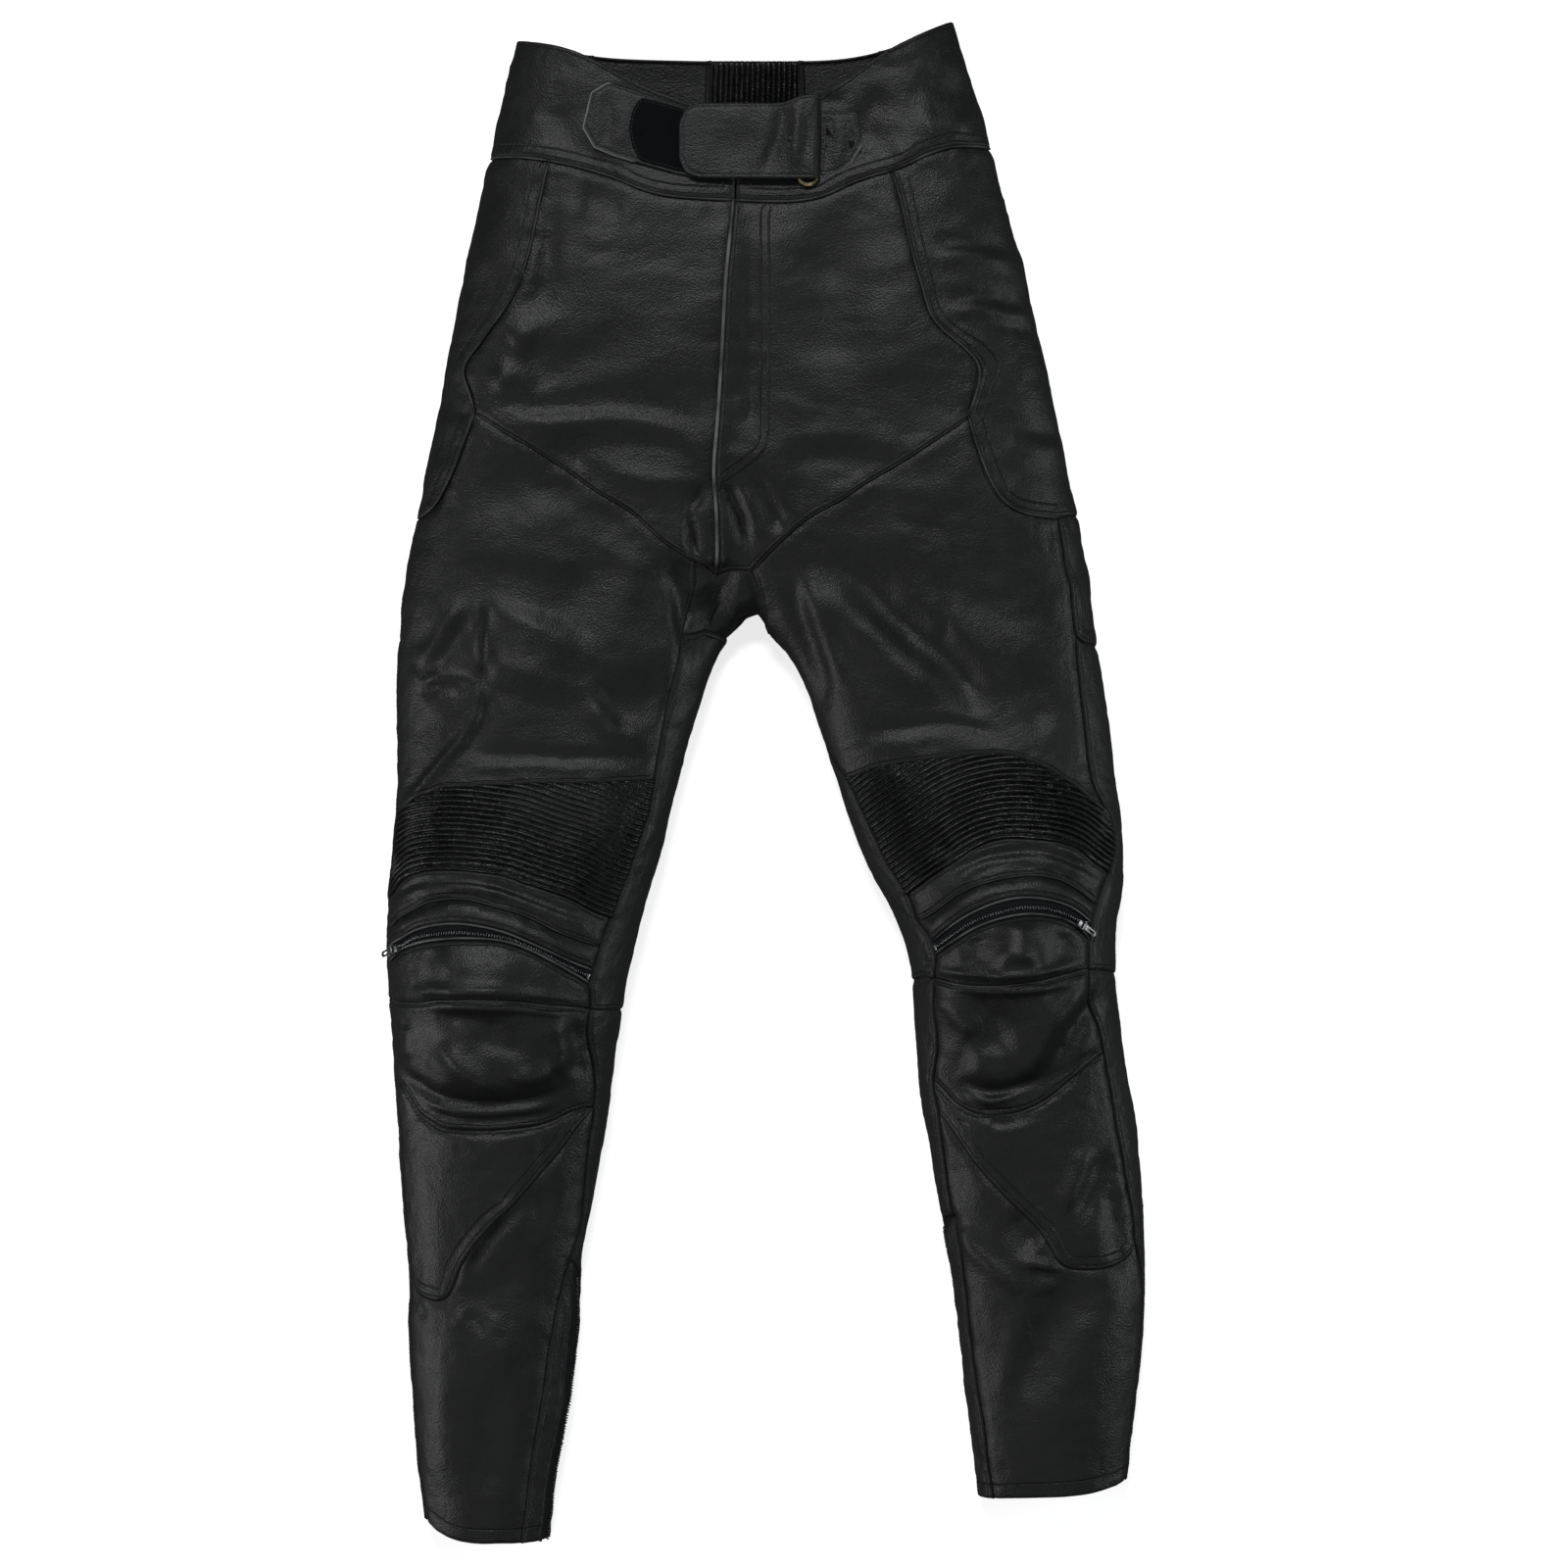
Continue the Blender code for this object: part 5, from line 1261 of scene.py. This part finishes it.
for side in sides:
    makeSlider(side)
    makePull(side)
    for joint, beside, axis in (("knee", ("knee_cup_upper", "knee_band_lower"), 0),
                                ("ankle", ("ankle_strip", "back_calf"), 1)):
        tape = f"{joint}_zip_tape_{side}"
        first, second = (respaced(rising(displaced[seamRun(tape, f"{part}_{side}")], axis), 60)
                         for part in beside)
        middle = first + (second - first) * zipLook["at"][joint]
        zipCoil(f"{joint}_zip_teeth_{side}", middle, tape)
        if joint == "knee":
            stopZip("knee_zip_stop_" + side, middle if side == "left" else middle[::-1], tape)
print("zips made")


# Finishes

class Amount:                             # a socket that takes part in sums
    def __init__(self, graph, socket):
        self.graph, self.socket = graph, socket

    def into(self, operation, *others, clamp=False):
        return self.graph.add("ShaderNodeMath", {"operation": operation, "use_clamp": clamp},
                              dict(enumerate((self,) + others)))

    def __add__(self, other):
        return self.into("ADD", other)

    def __sub__(self, other):
        return self.into("SUBTRACT", other)

    def __mul__(self, other):
        return self.into("MULTIPLY", other)

    def __pow__(self, other):
        return self.into("POWER", other)

    __radd__, __rmul__ = __add__, __mul__

    def __rsub__(self, other):
        return self.graph.add("ShaderNodeMath", {"operation": "SUBTRACT"}, {0: other, 1: self})

    def kept(self):                       # held between 0 and 1
        return self.into("ADD", 0.0, clamp=True)


class Finish:                             # one material and its nodes
    def __init__(self, name, **fixed):
        self.material = bpy.data.materials.new(name)
        self.material.use_nodes = True
        self.tree = self.material.node_tree
        self.shader = self.tree.nodes["Principled BSDF"]
        for label, value in fixed.items():
            self.shader.inputs[label.replace("_", " ")].default_value = value

    def add(self, kind, settings, sockets, out=0):
        node = self.tree.nodes.new(kind)
        for label, value in settings.items():
            if label == "stops":
                while len(node.color_ramp.elements) < len(value):
                    node.color_ramp.elements.new(0.5)
                for stop, (at, shade) in zip(node.color_ramp.elements, value):
                    stop.position, stop.color = at, (shade, shade, shade, 1)
            else:
                setattr(node, label, value)
        for label, value in sockets.items():
            if isinstance(value, Amount):
                self.tree.links.new(value.socket, node.inputs[label])
            else:
                node.inputs[label].default_value = value
        return Amount(self, node.outputs[out])

    def feed(self, label, value):
        self.tree.links.new(value.socket, self.shader.inputs[label])

    def spot(self):                       # the place on the piece, in metres
        return self.add("ShaderNodeTexCoord", {}, {}, "Object")

    def stretched(self, spot, scale, turn=(0, 0, 0)):
        return self.add("ShaderNodeMapping", {}, {"Vector": spot, "Scale": scale, "Rotation": turn})

    def noise(self, spot, scale, detail=2.0, rough=0.5, twist=0.0):
        return self.add("ShaderNodeTexNoise", {}, {"Vector": spot, "Scale": scale, "Detail": detail,
                                                  "Roughness": rough, "Distortion": twist})

    def cells(self, spot, scale):
        return self.add("ShaderNodeTexVoronoi", {}, {"Vector": spot, "Scale": scale}, "Distance")

    def ramp(self, value, *stops):
        return self.add("ShaderNodeValToRGB", {"stops": stops}, {0: value})

    def blend(self, amount, first, second):
        return self.add("ShaderNodeMix", {"data_type": "RGBA"}, {0: amount, 6: first, 7: second}, 2)

    def field(self, name):
        return self.add("ShaderNodeAttribute", {"attribute_name": name}, {}, "Fac")

    def bump(self, height, depth, under=None):
        sockets = {"Height": height, "Distance": depth, "Strength": 1.0}
        if under:
            sockets["Normal"] = under
        return self.add("ShaderNodeBump", {}, sockets)


leatherLook = {
    "deep": (0.0024, 0.0030, 0.0028, 1),
    "lit": (0.0066, 0.0077, 0.0071, 1),
    # painted highlight: the lighter colour laid along the seams
    "seamHighlight": (0.030, 0.033, 0.031, 1),
    # painted highlight: the light grey of the rolled edges and of the strap pieces' edges
    "highlightColour": (0.30, 0.30, 0.31, 1),
    "rough": 0.39,
    "seamShadePaint": (0.0015, 0.0016, 0.0016, 1),       # painted shade in the seam itself
    "valley": (0.0026, 0.0028, 0.0029, 1),      # painted shade between ribs
    "grain": 0.00022,         # heights in metres
    "swell": 0.00022,
    "crinkle": 0.00009,
    "pucker": 0.0005,
    "row": 0.0008,
    "rows": (2.6, 8.3),       # the stitch rows' grooves, in mm from the seam
}


# valleys: whether painted shade is laid between the ribs
def makeLeather(name, look, valleys=False):
    hide = Finish(name, IOR=1.48, Coat_Roughness=0.3, Specular_IOR_Level=0.5)
    spot = hide.spot()
    edge = hide.field("seamGap")
    near = (1 - edge * (1 / 9)).kept()
    patch = hide.noise(spot, 14, 3, 0.55, 0.3)
    grain = hide.cells(spot, 780)
    pores = hide.noise(spot, 1500, 2, 0.6)
    soft = hide.noise(spot, 30, 3, 0.5, 0.4)
    slack = hide.noise(spot, 11, 2, 0.5)
    thin = hide.noise(hide.stretched(spot, (0.7, 1.25, 1), (0, 0, 0.2)), 40, 3, 0.55, 0.9)
    creased = hide.ramp(thin, (0.455, 0), (0.5, 1), (0.545, 0)) * (slack * 3 - 1.0).kept()
    pucker = hide.noise(spot, 130, 2, 0.5, 0.2)
    shade = hide.blend(patch.kept(), look["deep"], look["lit"])
    # painted highlight: lighter in blotches close to the seams, where the turned edges catch the light
    seamHighlight = (near ** 7 * hide.noise(spot, 60, 2, 0.6) * 1.1).kept()
    shade = hide.blend(seamHighlight, shade, look["seamHighlight"])
    # painted highlight on the rolled edges and on the strap pieces' edges
    shade = hide.blend(hide.field("pale"), shade, look["highlightColour"])
    # painted shade: darker right in the seam gap
    seamShadePaint = (1 - edge * (1 / 1.3)).kept()
    shade = hide.blend(seamShadePaint, shade, look["seamShadePaint"])
    # painted shade: darker in the valleys between the ribs
    if valleys:
        shade = hide.blend((hide.field("valley") * 0.75).kept(), shade, look["valley"])
    hide.feed("Base Color", shade)
    rim = hide.add("ShaderNodeLayerWeight", {}, {"Blend": 0.5}, "Facing")
    hide.feed("Roughness", look["rough"] + (patch - 0.5) * 0.16 + grain * 0.10 - seamHighlight * 0.08 + seamShadePaint * 0.3
              + rim * rim * 0.3)

    def groove(gap, narrow):              # deepest where the gap is 0
        return (1 - gap * gap * narrow).kept()

    first, second = (edge - gap for gap in look["rows"])
    fly = hide.field("flyRow") - 20
    rows = (groove(first, 1.6) * hide.field("rowOne") + groove(second, 1.6) * hide.field("rowTwo")
            + groove(fly, 1.4) + groove(fly + flyLook["apart"], 1.4) + groove(hide.field("hemRow") - 20, 1.2))
    swell = hide.bump(soft, look["swell"])
    wrinkles = hide.bump(creased * -1.0, look["crinkle"], swell)
    tight = hide.bump(pucker * near, look["pucker"], wrinkles)
    sewn = hide.bump(rows * -1.0, look["row"], tight)
    fine = hide.bump(grain * -1.0 + pores * 0.45, look["grain"], sewn)
    hide.feed("Normal", fine)
    return hide.material


leather = makeLeather("black_leather", leatherLook)
ribbedLeather = makeLeather("ribbed_leather", {**leatherLook, "crinkle": 0.00005, "rough": 0.23}, True)
print("finishes mixed")


def makeThread(name):                     # waxed black thread
    cotton = Finish(name, Roughness=0.5, IOR=1.5)
    twist = cotton.noise(cotton.spot(), 2600, 2, 0.6)
    cotton.feed("Base Color", cotton.blend(twist.kept(), (0.006, 0.006, 0.007, 1), (0.022, 0.022, 0.024, 1)))
    cotton.feed("Roughness", 0.42 + twist * 0.2)
    cotton.feed("Normal", cotton.bump(twist, 0.00008))
    return cotton.material


def makeTape(name, dark, lit, gloss=0.3):  # woven tape
    weave = Finish(name, Roughness=0.8, IOR=1.45, Specular_IOR_Level=gloss)
    spot = weave.spot()
    slanted = weave.stretched(spot, (1, 1, 0), (0, 0, 0.3))
    warp, weft = (weave.add("ShaderNodeTexWave", {"wave_type": "BANDS", "bands_direction": axis},
                            {"Vector": slanted, "Scale": 260, "Distortion": 1.5}, 1) for axis in "XY")
    fluff = weave.noise(spot, 900, 3, 0.6)
    cloth = (warp * weft * 0.7 + fluff * 0.5).kept()
    weave.feed("Base Color", weave.blend(cloth, dark, lit))
    weave.feed("Roughness", 0.72 + fluff * 0.2)
    weave.feed("Normal", weave.bump(cloth, 0.0002))
    return weave.material


def makeMetal(name, dark, lit, rough):    # plated metal, rubbed at its edges
    metal = Finish(name, Metallic=1.0)
    spot = metal.spot()
    stain = metal.noise(spot, 180, 4, 0.6, 0.4)
    rub = metal.noise(metal.stretched(spot, (1, 5, 1)), 1100, 2, 0.6)
    metal.feed("Base Color", metal.blend((stain * 1.6 - 0.3).kept(), dark, lit))
    metal.feed("Roughness", rough + stain * 0.18 + rub * 0.08)
    metal.feed("Normal", metal.bump(rub, 0.00003))
    return metal.material


cottonThread = makeThread("black_thread")
zipTape = makeTape("zip_tape", (0.0015, 0.0018, 0.003, 1), (0.0045, 0.0055, 0.008, 1))
hookTape = makeTape("hook_tape", (0.0015, 0.0025, 0.0035, 1), (0.005, 0.007, 0.009, 1), gloss=0.12)
coilNylon = makeMetal("zip_coil", (0.05, 0.05, 0.055, 1), (0.22, 0.22, 0.235, 1), 0.24)
nickel = makeMetal("nickel", (0.10, 0.10, 0.104, 1), (0.40, 0.40, 0.41, 1), 0.24)
brass = makeMetal("brass", (0.16, 0.12, 0.06, 1), (0.62, 0.50, 0.28, 1), 0.22)
for piece in made.values():               # nothing sinks into the table
    height = np.array([v.co for v in piece.data.vertices])
    height[:, 2] = np.maximum(height[:, 2], skinLook["table"])
    piece.data.vertices.foreach_set("co", height.ravel())
    piece.data.update()
for name, piece in made.items():
    finish = (nickel if name.startswith(("knee_slider", "knee_pull", "knee_zip_stop")) else
              ribbedLeather if "ribs" in name and "stitch" not in name else
              cottonThread if name.startswith("stitches") else
              coilNylon if "teeth" in name else
              zipTape if "tape" in name else
              hookTape if "hook" in name else leather)
    piece.data.materials.clear()
    piece.data.materials.append(finish)
nodes["d_ring"].material_slots[0].material = brass


# Floor, camera and light

bpy.ops.mesh.primitive_plane_add(size=80, location=(0, 0, -0.0004))
floor = bpy.context.object
floor.name = "floor"
paper = Finish("pale_floor", Roughness=0.9, Emission_Strength=0.74)
mottle = paper.noise(paper.spot(), 30, 2) * 0.1
paper.feed("Base Color", paper.blend(mottle, (0.93, 0.93, 0.93, 1), (0.9, 0.9, 0.9, 1)))
paper.shader.inputs["Emission Color"].default_value = (1, 1, 1, 1)
floor.data.materials.append(paper.material)
floor.visible_glossy = False              # the bright table doesn't glare in the leather's edges

shot = {"wide": 1.088, "middle": (0.0129, -0.0011), "height": 8.0}
cameraData = bpy.data.cameras.new("camera")
cameraData.sensor_width = 36
cameraData.lens = 36 * (shot["height"] - 0.04) / shot["wide"]
cameraData.clip_end = 200
camera = bpy.data.objects.new("camera", cameraData)
camera.location = (*shot["middle"], shot["height"])
bpy.context.scene.collection.objects.link(camera)
bpy.context.scene.camera = camera

lamps = (                                 # place, size, power, shade
    ("key", (-0.7, 5.2, 7.0), (2.4, 1.3), 272, (0.97, 1, 0.975)),
    ("fill_foot", (0.2, -4.0, 6.5), (2.4, 1.2), 29, (0.97, 1, 0.985)),
    ("fill_left", (-2.6, -0.7, 1.1), (0.9, 1.2), 25, (0.98, 1, 0.98)),
    ("fill_right", (2.8, 0, 1.1), (0.9, 1.2), 20, (0.95, 1, 0.99)),
)
for name, where, size, power, shade in lamps:
    light = bpy.data.lights.new(name, "AREA")
    light.shape, light.size, light.size_y = "RECTANGLE", *size
    light.energy, light.color = power, shade
    lamp = bpy.data.objects.new(name, light)
    lamp.location = where
    lamp.rotation_euler = (Vector((0, 0, 0.03)) - Vector(where)).to_track_quat("-Z", "Y").to_euler()
    bpy.context.scene.collection.objects.link(lamp)
room = bpy.data.worlds.new("room")
room.use_nodes = True
room.node_tree.nodes["Background"].inputs["Color"].default_value = (1, 1, 1, 1)
room.node_tree.nodes["Background"].inputs["Strength"].default_value = 0.062
bpy.context.scene.world = room
bpy.context.scene.view_settings.view_transform = "Standard"

for name, piece in made.items():
    side = name.rsplit("_", 1)[1]
    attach(piece, "knee_pull_" + side if name.startswith("knee_pull_tab") else "trousers")
    node = name.removeprefix("panel_").removesuffix("_shell")
    node = node.replace("slider_body", "zip_slider").replace("pull_tab", "zip_pull")
    if node in nodes:
        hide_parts(node)

# The cut of each piece: width and length in mm, and its share of that oblong; the right one, then the left
cuts = {
    "waistband": ((85, 250, 0.85), (90, 255, 0.8)),
    "hip_panel": ((120, 270, 0.8), (150, 270, 0.85)),
    "front_panel": ((180, 285, 0.65), (185, 280, 0.65)),
    "thigh_front": ((210, 285, 0.7), (230, 280, 0.65)),
    "knee_ribs": ((150, 195, 0.7), (140, 190, 0.7)),          # before the ribs are stitched in
    "knee_band_upper": ((40, 180, 0.55), (50, 155, 0.5)),
    "knee_band_lower": ((35, 175, 0.45), (35, 140, 0.45)),
    "knee_zip_tape": ((30, 175, 0.4), (35, 125, 0.45)),
    "knee_cup_upper": ((45, 175, 0.75), (45, 125, 0.8)),
    "knee_cup_lower": ((95, 165, 0.85), (95, 130, 0.8)),
    "shin_panel": ((150, 155, 0.45), (125, 150, 0.6)),
    "calf_front": ((125, 315, 0.6), (135, 280, 0.65)),
    "ankle_strip": ((20, 200, 0.8), (20, 200, 0.8)),
    "ankle_zip_tape": ((20, 195, 0.9), (25, 200, 0.35)),
    "back_thigh": ((280, 285, 0.8), (265, 270, 0.85)),
    "back_calf": ((240, 370, 0.65), (250, 365, 0.7)),
    "seat": ((235, 355, 0.65), (295, 340, 0.65)),
    "waistband_back": ((70, 100, 0.85), (70, 80, 0.85)),
}
cuts = {f"{part}_{side}": cut for part, pair in cuts.items() for side, cut in zip(sides, pair)}
cuts.update(waistband_back_ribs=(100, 65, 0.95), gusset=(80, 120, 0.6), strap_base_right=(75, 65, 0.7),
            strap_base_left=(30, 45, 0.9), hook_patch=(50, 55, 0.8), strap_tab=(100, 60, 0.95))
behind = {"knee": "back_thigh", "thigh": "back_thigh", "shin": "back_calf", "calf": "back_calf",
          "ankle": "back_calf", "front": "seat", "hip": "seat", "waistband": "waistband_back"}
liesOn = {"hook_patch": "strap_base_right", "strap_tab": "hook_patch", "strap_base_right": "waistband_right",
          "strap_base_left": "waistband_left"}
trims = {}                                # panel -> the separate pieces on it
for name, piece in made.items():
    if name.startswith("stitches_"):
        trims.setdefault(name.removeprefix("stitches_"), []).append(piece)
    elif "_teeth_" in name or "_stop_" in name:
        trims.setdefault(name.replace("teeth", "tape").replace("stop", "tape"), []).append(piece)
    elif name in edgeLook:
        trims.setdefault(edgeLook[name][0][0], []).append(piece)
for name, (wide, long, share) in cuts.items():
    under = liesOn.get(name)
    if not under and name.endswith(sides) and not name.startswith(("back", "seat", "waistband_back")):
        under = behind[name.split("_")[0]] + "_" + name.rsplit("_", 1)[1]
print("cuts declared:", len(cuts))
